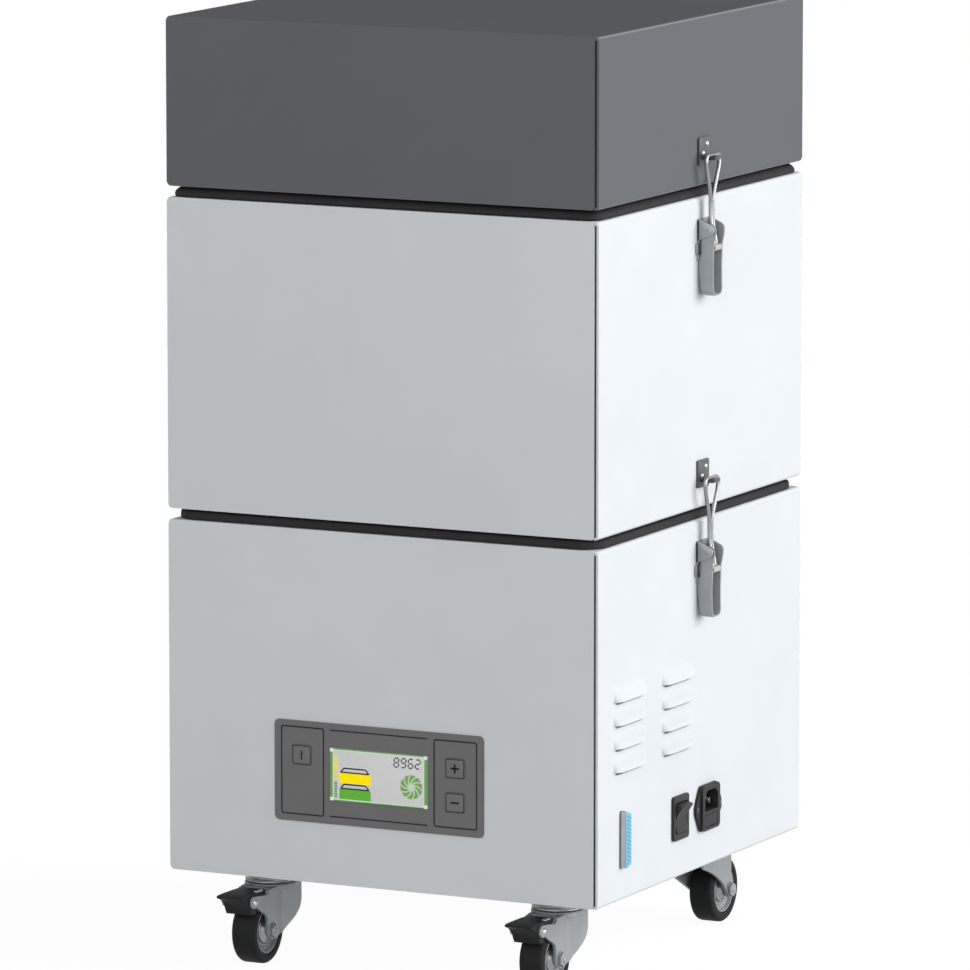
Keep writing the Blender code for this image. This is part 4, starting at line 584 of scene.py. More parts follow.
for column, lip in louvre_levels:
    combine(base, louvre_slot(column, lip))
exhaust_slots = []
for row in range(EXHAUST_ROWS):
    for column in (-1, 0, 1):
        middle = column * EXHAUST_PITCH[0]
        level = base_bottom + EXHAUST_BOTTOM + row * EXHAUST_PITCH[1]
        slot_low = (middle - EXHAUST_SLOT[0], CASE_HALF - SHEET - OVERRUN, level)
        slot_high = (middle + EXHAUST_SLOT[0], CASE_HALF + OVERRUN, level + EXHAUST_SLOT[1])
        exhaust_slots.append(box_mesh(slot_low, slot_high))
combine(base, merged(*exhaust_slots))
SIDE_HOLES = (
    ("switch_frame", 0.0015, 0.0015),
    ("mains_inlet", 0.0079, 0.0016),
    ("signal_connector", 0.0012, 0.0020),
)
for node, across, up in SIDE_HOLES:
    low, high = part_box(node)
    side_hole = box_mesh(
        (CASE_HALF - SHEET - OVERRUN, low.y + across, low.z + up),
        (CASE_HALF + OVERRUN, high.y - across, high.z - up),
    )
    combine(base, side_hole)
ride(settle(base), "cabinet", "light_paint", "base_shell")

base_face = front_sheet("base_face", "base_front", light_coat)
panel_low, panel_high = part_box("control_panel")
PANEL_LAP = 0.0060
combine(
    base_face,
    box_mesh(
        (panel_low.x + PANEL_LAP, -CASE_HALF - OVERRUN, panel_low.z + PANEL_LAP),
        (panel_high.x - PANEL_LAP, FRONT_SET + OVERRUN - CASE_HALF, panel_high.z - PANEL_LAP),
    ),
)
ride(settle(base_face), "cabinet", "light_paint", "base_front")


def sheet_of(rows, closed=False):
    """A mesh of quads from rows of points, each row as long as the next."""
    bm = bmesh.new()
    grid = [[bm.verts.new(point) for point in row] for row in rows]
    count = len(grid[0])
    for lower, upper in zip(grid, grid[1:]):
        for i in range(count if closed else count - 1):
            j = (i + 1) % count
            bm.faces.new((lower[i], lower[j], upper[j], upper[i]))
    return bm


def welded(bm, reach=0.000001):
    """A mesh whose points that lie together are made one."""
    bmesh.ops.remove_doubles(bm, verts=bm.verts[:], dist=reach)
    return bm


def louvre_hood(column, lip):
    """A hood pressed out of the side sheet: highest at its lip, dying out into the wall."""
    rows = []
    for j in range(LOUVRE_ROUNDS + 1):
        rise = j / LOUVRE_ROUNDS
        row = []
        for i in range(LOUVRE_STEPS + 1):
            share = sin(pi * (i / LOUVRE_STEPS - 0.5))
            fade = louvre_fade(share)
            out = LOUVRE_REACH * fade * (1.0 - rise * rise * (3.0 - 2.0 * rise))
            up = LOUVRE_RISE * (LOUVRE_END + (1.0 - LOUVRE_END) * fade) * rise
            row.append((CASE_HALF - GAP + out, column + share * LOUVRE_HALF, lip + up))
        rows.append(row)
    return welded(sheet_of(rows), 0.00002)


louvres = merged(*[louvre_hood(column, lip) for column, lip in louvre_levels])
louvres = new_piece("base_louvres", louvres, light_coat, 60.0)
thickness = louvres.modifiers.new("skin", "SOLIDIFY")
thickness.thickness = LOUVRE_SKIN
thickness.offset = -1.0
ride(settle(louvres, 60.0), "cabinet", "light_paint")
SCREEN_SET = (0.0062, 0.0054)
SCREEN_SPAN = (-0.1560, -0.0080)
SCREEN_LEVELS = (0.0860, 0.1720)
screen_low, screen_high = (
    (CASE_HALF - inset, across, base_bottom + up)
    for inset, across, up in zip(SCREEN_SET, SCREEN_SPAN, SCREEN_LEVELS)
)
screen = new_piece("louvre_screen", box_mesh(screen_low, screen_high), light_coat)
ride(screen, "cabinet", "light_paint")


# Toggle latches
# Four over-centre latches hold the modules together, two to a side. Each has a screwed catch
# plate with a hook, a bracket with two ears, a lever pressed as a pan, and a wire bail whose ends
# turn in a sleeve.
def smooth_path(points, steps=6):
    """A smooth curve through every point."""
    ends = [Vector(p) for p in (points[0], *points, points[-1])]
    path = []
    for a, b, c, d in zip(ends, ends[1:], ends[2:], ends[3:]):
        for j in range(steps):
            t = j / steps
            bend = 2 * a - 5 * b + 4 * c - d + t * (3 * (b - c) + d - a)
            path.append(b + 0.5 * t * (c - a + t * bend))
    path.append(ends[-1])
    return path


def with_headings(path):
    """Each point of a path, and the way that the path runs there."""
    path = [Vector(p) for p in path]
    ends = zip([path[0], *path], [*path[1:], path[-1]])
    return [(point, (after - before).normalized()) for point, (before, after) in zip(path, ends)]


def strip_outline(path, thickness):
    """The edge of a bent strip whose middle follows a flat path."""
    left, right = [], []
    for point, ahead in with_headings(path):
        aside = Vector((-ahead.y, ahead.x)) * thickness / 2
        left.append(tuple(point + aside))
        right.append(tuple(point - aside))
    return left + right[::-1]


def close_ends(bm):
    """Fills the open ends of a tube and drops what has closed up."""
    welded(bm)
    bmesh.ops.holes_fill(bm, edges=[e for e in bm.edges if e.is_boundary])
    return bm


def lathe(profile, facets=64, closed=False):
    """A profile of radius and height, turned round Z."""
    turns = [2 * pi * i / facets for i in range(facets)]
    if closed:
        profile = [*profile, profile[0]]
    rows = [[(r * cos(t), r * sin(t), h) for t in turns] for r, h in profile]
    return close_ends(sheet_of(rows, closed=True))


def wire(path, radius, facets=16):
    """A round wire along a path, with closed ends."""
    side = (path[1] - path[0]).orthogonal().normalized()
    turns = [2 * pi * i / facets for i in range(facets)]
    rows = []
    for point, ahead in with_headings(path):
        side = (side - ahead * side.dot(ahead)).normalized()
        across = ahead.cross(side)
        rows.append([point + (side * cos(t) + across * sin(t)) * radius for t in turns])
    return close_ends(sheet_of(rows, closed=True))


def shifted(bm, place, turn=None):
    """A built mesh turned about the origin, then moved to its place."""
    matrix = Matrix.Translation(place)
    bmesh.ops.transform(bm, matrix=matrix @ turn if turn else matrix, verts=bm.verts[:])
    return bm


OUTWARDS = Matrix.Rotation(pi / 2, 4, "Y")
SIDEWAYS = Matrix.Rotation(-pi / 2, 4, "X")


def plated_steel(name, colour, roughness, grain=900.0, metal=0.90):
    """Zinc or nickel plate over rolled steel: cloudy, with a faint grain along the sheet."""
    shader, start = new_finish(name, metallic=metal)
    cloud = start.noise(60.0, 3.0)
    streak = start.noise(grain, 2.0, (1.0, 1.0, 0.12))
    tone = cloud.ramp(0.3, 0.7).blend(toned(colour, 0.86), colour)
    relief = start.bump(streak, 0.00002, 0.5)
    gloss = roughness - 0.07 + 0.14 * cloud
    return feed(shader, base_color=tone, roughness=gloss, normal=relief)


lever_steel = plated_steel("lever_zinc_plate", (0.330, 0.350, 0.365), 0.44)
catch_steel = plated_steel("catch_zinc_plate", (0.084, 0.089, 0.093), 0.42, 900.0, 0.35)
wire_nickel = plated_steel("bail_nickel_plate", (0.330, 0.328, 0.334), 0.24)
# Painted shading: a separate copy of the lever's zinc for the inside of the pan, lighter and much less
# metallic, tuned to how bright the inside should look.
pan_inside_painted_light = plated_steel("lever_inside_zinc_plate", (0.360, 0.374, 0.384), 0.46, 900.0, 0.20)
screw_nickel = plated_steel("screw_nickel_plate", (0.600, 0.600, 0.595), 0.24)

LATCH_ACROSS = -0.0007
PLATE = 0.0015
PIVOT = (0.0095, -0.0235)
PIN = (0.0107, -0.0364)
LEVER_HALF = 0.0080
LEVER_SHEET = 0.0014
LEVER_FACE = 0.0126
LEVER_FOOT = -0.0720
LEVER_ROUND = 0.0058
WEB_SET = 0.0068
WIRE = 0.0015
BAIL_TOP = (0.0082, 0.0310)
EASE = 0.00032
CATCH_HALF = (0.0093, 0.0102)
CATCH_CORNER = 0.0011
CATCH_LEVEL = 0.0340
TONGUE_HALF = 0.0050
TONGUE_OVER = 0.0026
TONGUE_BEND = 0.0012
TONGUE_RISE = 0.0020
BRACKET_HALF = 0.01525
BRACKET_LEVEL = -0.03075
WING_HALF = (0.0019, 0.0044)
WING_CORNER = 0.0017
WING_OVER = 0.0007
WING_LEVEL = -0.0373
EAR_ROUND = 0.0044
EAR_TOP = -0.0155
EAR_FOOT = -0.0316
PAN_CLEAR = (-0.0100, 0.0300, 0.0200)
PAN_WIDE = (-0.0200, 0.0400, 0.0300)
WEB_TOP = -0.0402
SLEEVE = 0.0029
SLEEVE_CHAMFER = 0.0005


def catch_mesh():
    """The plate, and the tongue bent out of it under the bail."""
    face = rounded(*CATCH_HALF, CATCH_CORNER, (0.0, CATCH_LEVEL))
    face = plate(face, GAP, GAP + PLATE, "side", EASE)
    ledge = BAIL_TOP[1] - WIRE - GAP - PLATE / 2
    lip = BAIL_TOP[0] + WIRE + TONGUE_OVER
    elbow = (lip - TONGUE_BEND, ledge + TONGUE_BEND)
    bend = [(GAP + PLATE / 2, ledge), (elbow[0], ledge)]
    bend += arc(elbow, TONGUE_BEND, -70.0, 0.0, 5)
    bend.append((lip, ledge + TONGUE_RISE))
    tongue = plate(strip_outline(bend, PLATE), -TONGUE_HALF, TONGUE_HALF, "front", EASE)
    return merged(face, tongue)


SCREW_HEAD = [(0.0, 0.0011), (0.0008, 0.00105), (0.0014, 0.0008), (0.0019, 0.0003)]
SCREW_HEAD += [(0.0020, 0.0), (0.0020, -0.0004), (0.0, -0.0004)]
SCREWS = ((0.0037, 0.0388), (-0.0026, 0.0322))


def screw_mesh():
    """Two domed screw heads on the face of the catch plate."""
    heads = [shifted(lathe(SCREW_HEAD, 28), (GAP + PLATE, *place), OUTWARDS) for place in SCREWS]
    return merged(*heads)


STUD = [(0.0, 0.0003), (0.0014, 0.0002), (0.0019, 0.0), (0.0019, -0.0030), (0.0, -0.0030)]


def bracket_mesh():
    """A plate against the wall, with two ears that carry the pivot studs, and two wings."""
    outside = LEVER_HALF + GAP + LEVER_SHEET
    back = rounded(outside, BRACKET_HALF, 0.0008, (0.0, BRACKET_LEVEL))
    pieces = [plate(back, GAP, GAP + LEVER_SHEET, "side", EASE)]
    for side in (-1, 1):
        wing = rounded(*WING_HALF, WING_CORNER, (side * (outside + WING_OVER), WING_LEVEL))
        pieces.append(plate(wing, GAP, GAP + LEVER_SHEET, "side", EASE))
        head = arc(PIVOT, EAR_ROUND, -62.0, 62.0, 12)
        ear = [(GAP, EAR_FOOT), *head, (0.0030, EAR_TOP), (GAP, EAR_TOP)]
        far, near = side * outside, side * (outside - LEVER_SHEET)
        pieces.append(plate(ear, min(far, near), max(far, near), "front", EASE))
        turn = SIDEWAYS if side > 0 else SIDEWAYS.inverted()
        pieces.append(shifted(lathe(STUD, 24), (PIVOT[0], side * outside, PIVOT[1]), turn))
    return merged(*pieces)


def taken(piece):
    """The mesh of a piece with its cuts made, which then goes."""
    bm = bmesh.new()
    bm.from_mesh(settle(piece).data)
    bpy.data.objects.remove(piece, do_unlink=True)
    return bm


def lever_side():
    """The side outline of a lever: a round head, a step behind the pin and a slimmer foot."""
    heel, toe = 0.0030, 0.0016
    outline = arc(PIVOT, 0.0049, 0.0, 190.0, 16)
    outline += [(0.0032, -0.0335), (0.0030, -0.0412)]
    outline += smooth_path([(0.0026, -0.0420), (0.0014, -0.0430), (0.0009, -0.0448)], 4)
    outline += smooth_path([(0.0010, -0.0520), (0.0016, -0.0580), (0.0026, -0.0655)], 4)
    outline += arc((0.0032 + heel, LEVER_FOOT + heel), heel, 186.0, 268.0, 8)
    outline += arc((LEVER_FACE - toe, LEVER_FOOT + toe), toe, 272.0, 358.0, 6)
    front = [(LEVER_FACE, -0.0680), (0.0124, -0.0600), (0.0123, -0.0500), (LEVER_FACE, -0.0420)]
    front += [(0.0126, -0.0364), (0.0129, -0.0332), (0.0136, -0.0302), (0.0142, -0.0268)]
    front.append((0.0144, -0.0245))
    return outline + [tuple(p) for p in smooth_path(front, 4)]


def pan(inset, reach):
    """A block as wide as the lever less an inset, with its round foot, from face to face."""
    low, high, top = reach
    half = LEVER_HALF - inset
    corner = LEVER_ROUND - inset
    outline = arc((half - corner, LEVER_FOOT + inset + corner), corner, 0.0, -90.0, 8)
    outline += arc((corner - half, LEVER_FOOT + inset + corner), corner, -90.0, -180.0, 8)
    outline += [(-half, top), (half, top)]
    return prism(outline, low, high, "side")


def lever_meshes():
    """A lever pressed as a pan: its outer walls, then its inner walls and its sunk web."""
    outline = lever_side()
    middle = LEVER_SHEET / 2
    walls = new_piece("lever_walls", prism(outline, -LEVER_HALF, LEVER_HALF))
    combine(walls, pan(0.0, PAN_CLEAR), "INTERSECT")
    combine(walls, pan(middle, PAN_WIDE))
    web = new_piece("lever_web", prism(outline, -LEVER_HALF, LEVER_HALF))
    combine(web, pan(middle, PAN_CLEAR), "INTERSECT")
    near, far, top = PAN_WIDE
    face = LEVER_FACE - WEB_SET
    combine(web, pan(LEVER_SHEET, (face, far, top)))
    combine(web, pan(LEVER_SHEET, (near, face - LEVER_SHEET, top)))
    inside = LEVER_HALF - LEVER_SHEET
    combine(web, box_mesh((-0.0300, -inside, WEB_TOP), (0.0500, inside, 0.0400)))
    return taken(walls), taken(web)


def bail_mesh():
    """One bent wire in a pear shape, with both ends in a sleeve that turns in the lever."""
    rise = BAIL_TOP[1] - PIN[1]
    back = PIN[0] - BAIL_TOP[0]
    half = [
        (-0.0004, 0.0019, 0.0010), (-0.0010, 0.0018, 0.0060), (-0.0029, 0.0017, 0.0180),
        (-0.0034, 0.0016, 0.0300), (-0.0033, 0.0022, 0.0365), (-0.0030, 0.0048, 0.0445),
        (-0.0027, 0.0082, 0.0530), (-back, 0.0104, 0.0590), (-back, 0.0112, 0.0632),
        (-back, 0.0104, 0.0662), (-back, 0.0082, rise), (-back, 0.0040, rise),
    ]
    points = half + [(out, -side, up) for out, side, up in half[::-1]]
    loop = wire(smooth_path(points, 5), WIRE)
    pin = round_bar((0.0, GAP - LEVER_HALF, 0.0), (0.0, LEVER_HALF - GAP, 0.0), WIRE, 24)
    return shifted(merged(loop, pin), (PIN[0], 0.0, PIN[1]))


def sleeve_mesh():
    """The turned sleeve on the pin that holds both ends of the wire."""
    end = LEVER_HALF - LEVER_SHEET - GAP * 4
    sleeve = [(0.0, end), (SLEEVE - SLEEVE_CHAMFER, end), (SLEEVE, end - SLEEVE_CHAMFER)]
    sleeve += [(radius, -along) for radius, along in sleeve[::-1]]
    return shifted(lathe(sleeve, 32), (PIN[0], 0.0, PIN[1]), SIDEWAYS)


filter_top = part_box("filter_box_shell")[1].z
base_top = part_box("base_shell")[1].z
for label, side, level in (
    ("upper_right", 1, filter_top),
    ("lower_right", 1, base_top),
    ("upper_left", -1, filter_top),
    ("lower_left", -1, base_top),
):
    seat = (side * CASE_HALF, LATCH_ACROSS, level)
    turn = Matrix.Rotation(0.0 if side > 0 else pi, 4, "Z")
    walls, web = lever_meshes()
    for name, bm, steel, body, slot, node in (
        ("catch", catch_mesh(), catch_steel, "cabinet", "latch_steel", "catch_plate_"),
        ("catch_screws", screw_mesh(), screw_nickel, "cabinet", "nickel_wire", ""),
        ("bracket", bracket_mesh(), lever_steel, "cabinet", "latch_steel", "latch_bracket_"),
        ("lever", walls, lever_steel, f"lever_{label}", "latch_steel", "latch_lever_"),
        # The inside of the pan takes the painted-shading copy of the zinc.
        ("web", web, pan_inside_painted_light, f"lever_{label}", "latch_steel", ""),
        ("bail", bail_mesh(), wire_nickel, f"bail_{label}", "nickel_wire", "latch_bail_"),
        ("sleeve", sleeve_mesh(), screw_nickel, f"bail_{label}", "nickel_wire", ""),
    ):
        piece = new_piece(f"toggle_{name}_{label}", shifted(bm, seat, turn), steel, 40.0)
        ride(piece, body, slot, *([node + label] if node else []))


# Castors
# Four swivel castors under the corners. Each has a turned raceway on a stud, a fork of folded
# plate, a moulded wheel with a rubber tyre, and at the front a plastic brake pedal.
tyre_rubber = moulded("tyre_rubber", (0.0125, 0.0128, 0.0132), 0.62, 0.10, 500.0)
pedal_black = moulded("pedal_nylon", (0.0150, 0.0150, 0.0155), 0.50)
rim_grey = moulded("rim_nylon", (0.270, 0.278, 0.284), 0.32)
castor_zinc = plated_steel("castor_zinc_plate", (0.300, 0.317, 0.329), 0.50, 700.0, 0.45)
hub_zinc = plated_steel("hub_zinc_plate", (0.330, 0.343, 0.352), 0.36, 700.0, 0.80)
rivet_zinc = plated_steel("rivet_zinc_plate", (0.500, 0.512, 0.518), 0.28, 700.0)

WHEEL_TRAIL = 0.0214
WHEEL_DROP = 0.0456
LEG_INSIDE = 0.0116
LEG_PLATE = 0.0022
LEG_BENDS = ((-0.0020, 0.0), (-0.0102, 0.0009), (-0.0124, -0.0005), (-0.0288, -0.0010))
BRAKE_PIVOT = (-0.0490, -0.0200)
BRAKE_EYE = 0.0046
BRAKE_PIN = 0.0018
BRIDGE_HALF = 0.0222
BRIDGE_SET = 0.0004
BRIDGE_LEVELS = (-0.0164, -0.0138)
NUT_FLATS = 0.0096
NUT_HEIGHT = 0.0024
AXLE = 0.0030
RIVET = 0.0024
RIVET_RISES = (0.0017, 0.0006)
PEDAL_HALF = 0.0106

HEAD_PROFILE = [
    (0.0, 0.0119), (0.0078, 0.0119), (0.0085, 0.0112), (0.0085, 0.0038), (0.0050, 0.0038),
    (0.0050, 0.0013), (0.0146, 0.0013), (0.0150, 0.0009), (0.0150, -0.0066), (0.0158, -0.0071),
    (0.0184, -0.0072), (0.0193, -0.0077), (0.0195, -0.0085), (0.0192, -0.0094), (0.0183, -0.0098),
    (0.0183, -0.0102), (0.0190, -0.0106), (0.0191, -0.0112), (0.0184, -0.0118), (0.0, -0.0118),
]
CROWN_PROFILE = [
    (0.0, -0.0122), (0.0176, -0.0122), (0.0190, -0.0126), (0.0195, -0.0136), (0.0195, -0.0162),
    (0.0, -0.0162),
]
BRAKED_LEG = [
    (0.0225, -0.0140), (0.0225, -0.0230), (0.0225, -0.0290), (0.0212, -0.0335), (0.0170, -0.0378),
    (0.0100, -0.0418), (0.0010, -0.0452), (-0.0090, -0.0486), (-0.0160, -0.0515),
    (-0.0210, -0.0525), (-0.0262, -0.0508), (-0.0286, -0.0466), (-0.0288, -0.0400),
    (-0.0289, -0.0352), (-0.0310, -0.0324), (-0.0380, -0.0290), (-0.0456, -0.0247),
]
PLAIN_LEG = [
    (0.0262, -0.0140), (0.0266, -0.0195), (0.0245, -0.0224), (0.0180, -0.0248), (0.0100, -0.0280),
    (0.0020, -0.0320), (-0.0060, -0.0368), (-0.0125, -0.0420), (-0.0152, -0.0470),
    (-0.0180, -0.0505), (-0.0216, -0.0518), (-0.0250, -0.0504), (-0.0272, -0.0468),
    (-0.0268, -0.0420), (-0.0240, -0.0340), (-0.0235, -0.0240), (-0.0235, -0.0140),
]
FULL_LEG = [
    (0.0262, -0.0140), (0.0264, -0.0200), (0.0252, -0.0262), (0.0218, -0.0304), (0.0168, -0.0333),
    (0.0100, -0.0368), (0.0021, -0.0410), (-0.0060, -0.0452), (-0.0116, -0.0482),
    (-0.0160, -0.0506),
    *PLAIN_LEG[10:],
]


def leg_bend(y):
    """How far a braked leg stands out from its plane: a rib, then a turn in towards the wheel."""
    if y >= LEG_BENDS[0][0]:
        return 0.0
    for (back, high), (front, low) in zip(LEG_BENDS, LEG_BENDS[1:]):
        if y >= front:
            return high + (low - high) * (back - y) / (back - front)
    return LEG_BENDS[-1][1]


def leg_mesh(braked, full=False):
    """One leg of the fork. A braked one turns in towards the wheel in front of its fold."""
    if braked:
        outline = smooth_path(BRAKED_LEG, 3)
        outline += [Vector(p) for p in arc(BRAKE_PIVOT, BRAKE_EYE, -52.0, -262.0, 12)]
        tail = [(-0.0440, -0.0160), (-0.0300, -0.0176), (-0.0277, -0.0168), (-0.0270, -0.0140)]
        outline += smooth_path(tail, 3)
    else:
        outline = smooth_path(FULL_LEG if full else PLAIN_LEG, 3)
    bm = plate([tuple(p) for p in outline], LEG_INSIDE, LEG_INSIDE + LEG_PLATE, "side", 0.0004)
    if braked:
        for fold, _ in LEG_BENDS:
            cut = bm.verts[:] + bm.edges[:] + bm.faces[:]
            bmesh.ops.bisect_plane(bm, geom=cut, plane_co=(0, fold, 0), plane_no=(0, 1, 0))
        for vert in bm.verts:
            vert.co.x += leg_bend(vert.co.y)
    return bm


def mirrored(bm):
    """The other hand of a mesh, across its middle plane."""
    for vert in bm.verts:
        vert.co.x = -vert.co.x
    bmesh.ops.reverse_faces(bm, faces=bm.faces[:])
    return bm


def rivet_mesh(radius, height, sunk=0.0012):
    """A domed rivet head that faces +X, with its foot sunk in the plate."""
    dome = [(radius * sin(a), height * cos(a)) for a in (0.0, 0.35, 0.7, 1.05, 1.35)]
    dome += [(radius, 0.0), (radius, -sunk), (0.0, -sunk)]
    return shifted(lathe(dome, 32), (0, 0, 0), OUTWARDS)


def nut_mesh(flats, height):
    """A hexagon nut with a turned chamfer, its washer and the rounded end of the axle."""
    reach = flats / sqrt(3.0)
    hexagon = [(reach * cos(k * pi / 3), reach * sin(k * pi / 3)) for k in range(6)]
    nut = plate(hexagon, 0.0007, 0.0007 + height, "top", 0.0006)
    washer = lathe([(0.0, 0.0007), (reach * 1.12, 0.0007), (reach * 1.12, -0.001), (0.0, -0.001)])
    end = [(0.0, height + 0.0017), (0.0014, height + 0.0016), (0.0023, height + 0.0011)]
    end += [(0.0026, height), (0.0, height)]
    return shifted(merged(nut, washer, lathe(end, 32)), (0, 0, 0), OUTWARDS)


def fork_mesh(braked):
    """The crown ring and its bridge, with a leg on either side."""
    bridge = rounded(LEG_INSIDE + LEG_PLATE - BRIDGE_SET, BRIDGE_HALF, 0.0010)
    bridge = plate(bridge, *BRIDGE_LEVELS, "top", EASE)
    legs = leg_mesh(braked, full=True), mirrored(leg_mesh(braked))
    return merged(lathe(CROWN_PROFILE, 72), bridge, *legs)


def axle_nuts(braked):
    """The axle, with a nut on each end."""
    outside = LEG_INSIDE + LEG_PLATE + (leg_bend(-WHEEL_TRAIL) if braked else 0.0)
    place = (outside, -WHEEL_TRAIL, -WHEEL_DROP)
    ends = ((-LEG_INSIDE, *place[1:]), (LEG_INSIDE, *place[1:]))
    outer, inner = (shifted(nut_mesh(NUT_FLATS, NUT_HEIGHT), place) for _ in range(2))
    return merged(outer, mirrored(inner), round_bar(*ends, AXLE, 32))


def brake_rivets():
    """The pin of the brake pedal, headed over on both sides."""
    face = LEG_INSIDE + LEG_PLATE + LEG_BENDS[-1][1]
    place = (face, *BRAKE_PIVOT)
    ends = ((-LEG_INSIDE, *BRAKE_PIVOT), (LEG_INSIDE, *BRAKE_PIVOT))
    outer, inner = (shifted(rivet_mesh(RIVET, rise), place) for rise in RIVET_RISES)
    return merged(outer, mirrored(inner), round_bar(*ends, BRAKE_PIN, 24))


TYRE_SIDE = [
    (0.0177, 0.0086), (0.0181, 0.0092), (0.0190, 0.0095), (0.0206, 0.0096), (0.0214, 0.0094),
    (0.0218, 0.0094), (0.0228, 0.0093), (0.0239, 0.0087), (0.0247, 0.0077), (0.02495, 0.0065),
    (0.0250, 0.0050),
]
RIM_SIDE = [
    (0.0090, 0.0050), (0.0104, 0.0050), (0.0110, 0.0056), (0.0124, 0.0058), (0.0130, 0.0050),
    (0.0142, 0.0052), (0.0154, 0.0062), (0.0159, 0.0084), (0.0163, 0.0089), (0.0171, 0.0089),
    (0.0176, 0.0085),
]
HUB_SIDE = [
    (0.0038, 0.0103), (0.0052, 0.0103), (0.0060, 0.0099), (0.0068, 0.0086), (0.0084, 0.0070),
    (0.0094, 0.0068), (0.0098, 0.0062), (0.0096, 0.0046),
]


def both_sides(half):
    """A closed wheel profile that is the same on its two sides."""
    return half + [(radius, -across) for radius, across in half[::-1]]


def pedal_mesh():
    """The brake pedal: a broad tread that runs down into the shoe over the tyre."""
    tread = [(-0.0281, -0.0139), (-0.0400, -0.0137), (-0.0560, -0.0136), (-0.0640, -0.0138)]
    tip = [(-0.0656, -0.0141), (-0.0661, -0.0148), (-0.0657, -0.0156), (-0.0640, -0.0163)]
    skirt = [(-0.0608, -0.0172), (-0.0575, -0.0186), (-0.0546, -0.0208), (-0.0526, -0.0238)]
    skirt += [(-0.0514, -0.0266), (-0.0508, -0.0292)]
    shoe = [(-0.0500, -0.0297), (-0.0432, -0.0297), (-0.0424, -0.0262), (-0.0398, -0.0212)]
    tail = [(-0.0340, -0.0182), (-0.0285, -0.0170), (-0.0281, -0.0165)]
    outline = tread + tip + skirt + shoe + tail
    return plate(outline, -PEDAL_HALF, PEDAL_HALF, "side", 0.0005)


def clip_mesh():
    """A bent strip of spring steel on the tail of the pedal."""
    outline = rounded(0.0016, 0.0050, 0.0008, (0.0089, -0.0368))
    return plate(outline, -0.0140, -0.0130, "top", 0.0002)


for label in ("front_left", "front_right", "rear_left", "rear_right"):
    braked = label.startswith("front")
    middle = sum(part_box(f"castor_head_{label}"), Vector()) / 2
    seat = (middle.x, middle.y, base_bottom)
    turn = Matrix.Rotation(0.0 if braked else pi, 4, "Z")
    axle = Vector(seat) + turn @ Vector((0.0, -WHEEL_TRAIL, -WHEEL_DROP))
    fork, wheel = f"fork_{label}", f"wheel_{label}"
    fork_parts = (
        ("head", lathe(HEAD_PROFILE, 72), hub_zinc, "cabinet", "castor_head_"),
        ("fork", fork_mesh(braked), castor_zinc, fork, "castor_fork_"),
        ("axle", axle_nuts(braked), castor_zinc, fork, ""),
    )
    for name, bm, steel, body, node in fork_parts:
        piece = new_piece(f"swivel_{name}_{label}", shifted(bm, seat, turn), steel, 9.0)
        ride(piece, body, "castor_steel", *([node + label] if node else []))
    wheel_parts = (
        ("tyre", TYRE_SIDE, tyre_rubber, "tyre", "castor_tyre_"),
        ("rim", RIM_SIDE, rim_grey, "rim_plastic", "castor_rim_"),
        ("hub", HUB_SIDE, hub_zinc, "castor_steel", ""),
    )
    for name, half, stuff, slot, node in wheel_parts:
        bm = shifted(lathe(both_sides(half), 96, closed=True), axle, OUTWARDS)
        piece = new_piece(f"wheel_{name}_{label}", bm, stuff, 34.0)
        ride(piece, wheel, slot, *([node + label] if node else []))
    if braked:
        rivets = new_piece(f"brake_rivets_{label}", shifted(brake_rivets(), seat, turn), rivet_zinc)
        ride(rivets, fork, "castor_steel")
        pedal = new_piece(f"brake_lever_{label}", shifted(pedal_mesh(), seat, turn), pedal_black)
        ride(pedal, f"pedal_{label}", "pedal_plastic", f"brake_pedal_{label}")
        clip = new_piece(f"brake_clip_{label}", shifted(clip_mesh(), seat, turn), rivet_zinc)
        ride(clip, f"pedal_{label}", "castor_steel")


# Control panel
# A grey membrane film over the window in the base, with two printed fields, two printed lines
# and three domed keys. Its glyphs and lines are dark ink, a few hundredths of a millimetre thick.
def ring_plate(outer, inner, start, end, plane):
    """A closed frame between two outlines with as many points each."""
    rims = ((outer, start), (outer, end), (inner, end), (inner, start), (outer, start))
    rows = [[on_plane(plane, *point, depth) for point in rim] for rim, depth in rims]
    return welded(sheet_of(rows, closed=True))


def grown(half, corner, by, middle, steps=5):
    """The outline of a rounded rectangle that is wider all round by a given width."""
    return rounded(half[0] + by, half[1] + by, corner + by, middle, steps)


def face_of(node, plane):
    """The middle and the half size of a node, as seen from the front or the side."""
    low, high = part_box(node)
    ends = [(low[axis], high[axis]) for axis in {"front": (0, 2), "side": (1, 2)}[plane]]
    return [(a + b) / 2 for a, b in ends], [(b - a) / 2 for a, b in ends]


def printed(name, colour, glow=0.0, roughness=0.42):
    """Ink on a film, or a lit part of the display: a thin even colour with a faint mottle."""
    lit = {"emission_strength": glow, "emission_color": (*colour, 1.0)} if glow else {}
    shader, start = new_finish(name, specular_ior_level=0.10, **lit)
    mottle = start.noise(900.0, 2.0)
    tone = mottled(mottle, colour, 0.04)
    return feed(shader, base_color=tone, roughness=roughness - 0.03 + 0.06 * mottle)


film_grey = moulded("panel_film", (0.168, 0.168, 0.168), 0.48, 0.03, 900.0)
key_grey = moulded("key_dome", (0.176, 0.176, 0.176), 0.46, 0.03, 900.0)
dark_ink = printed("dark_ink", (0.022, 0.022, 0.023))

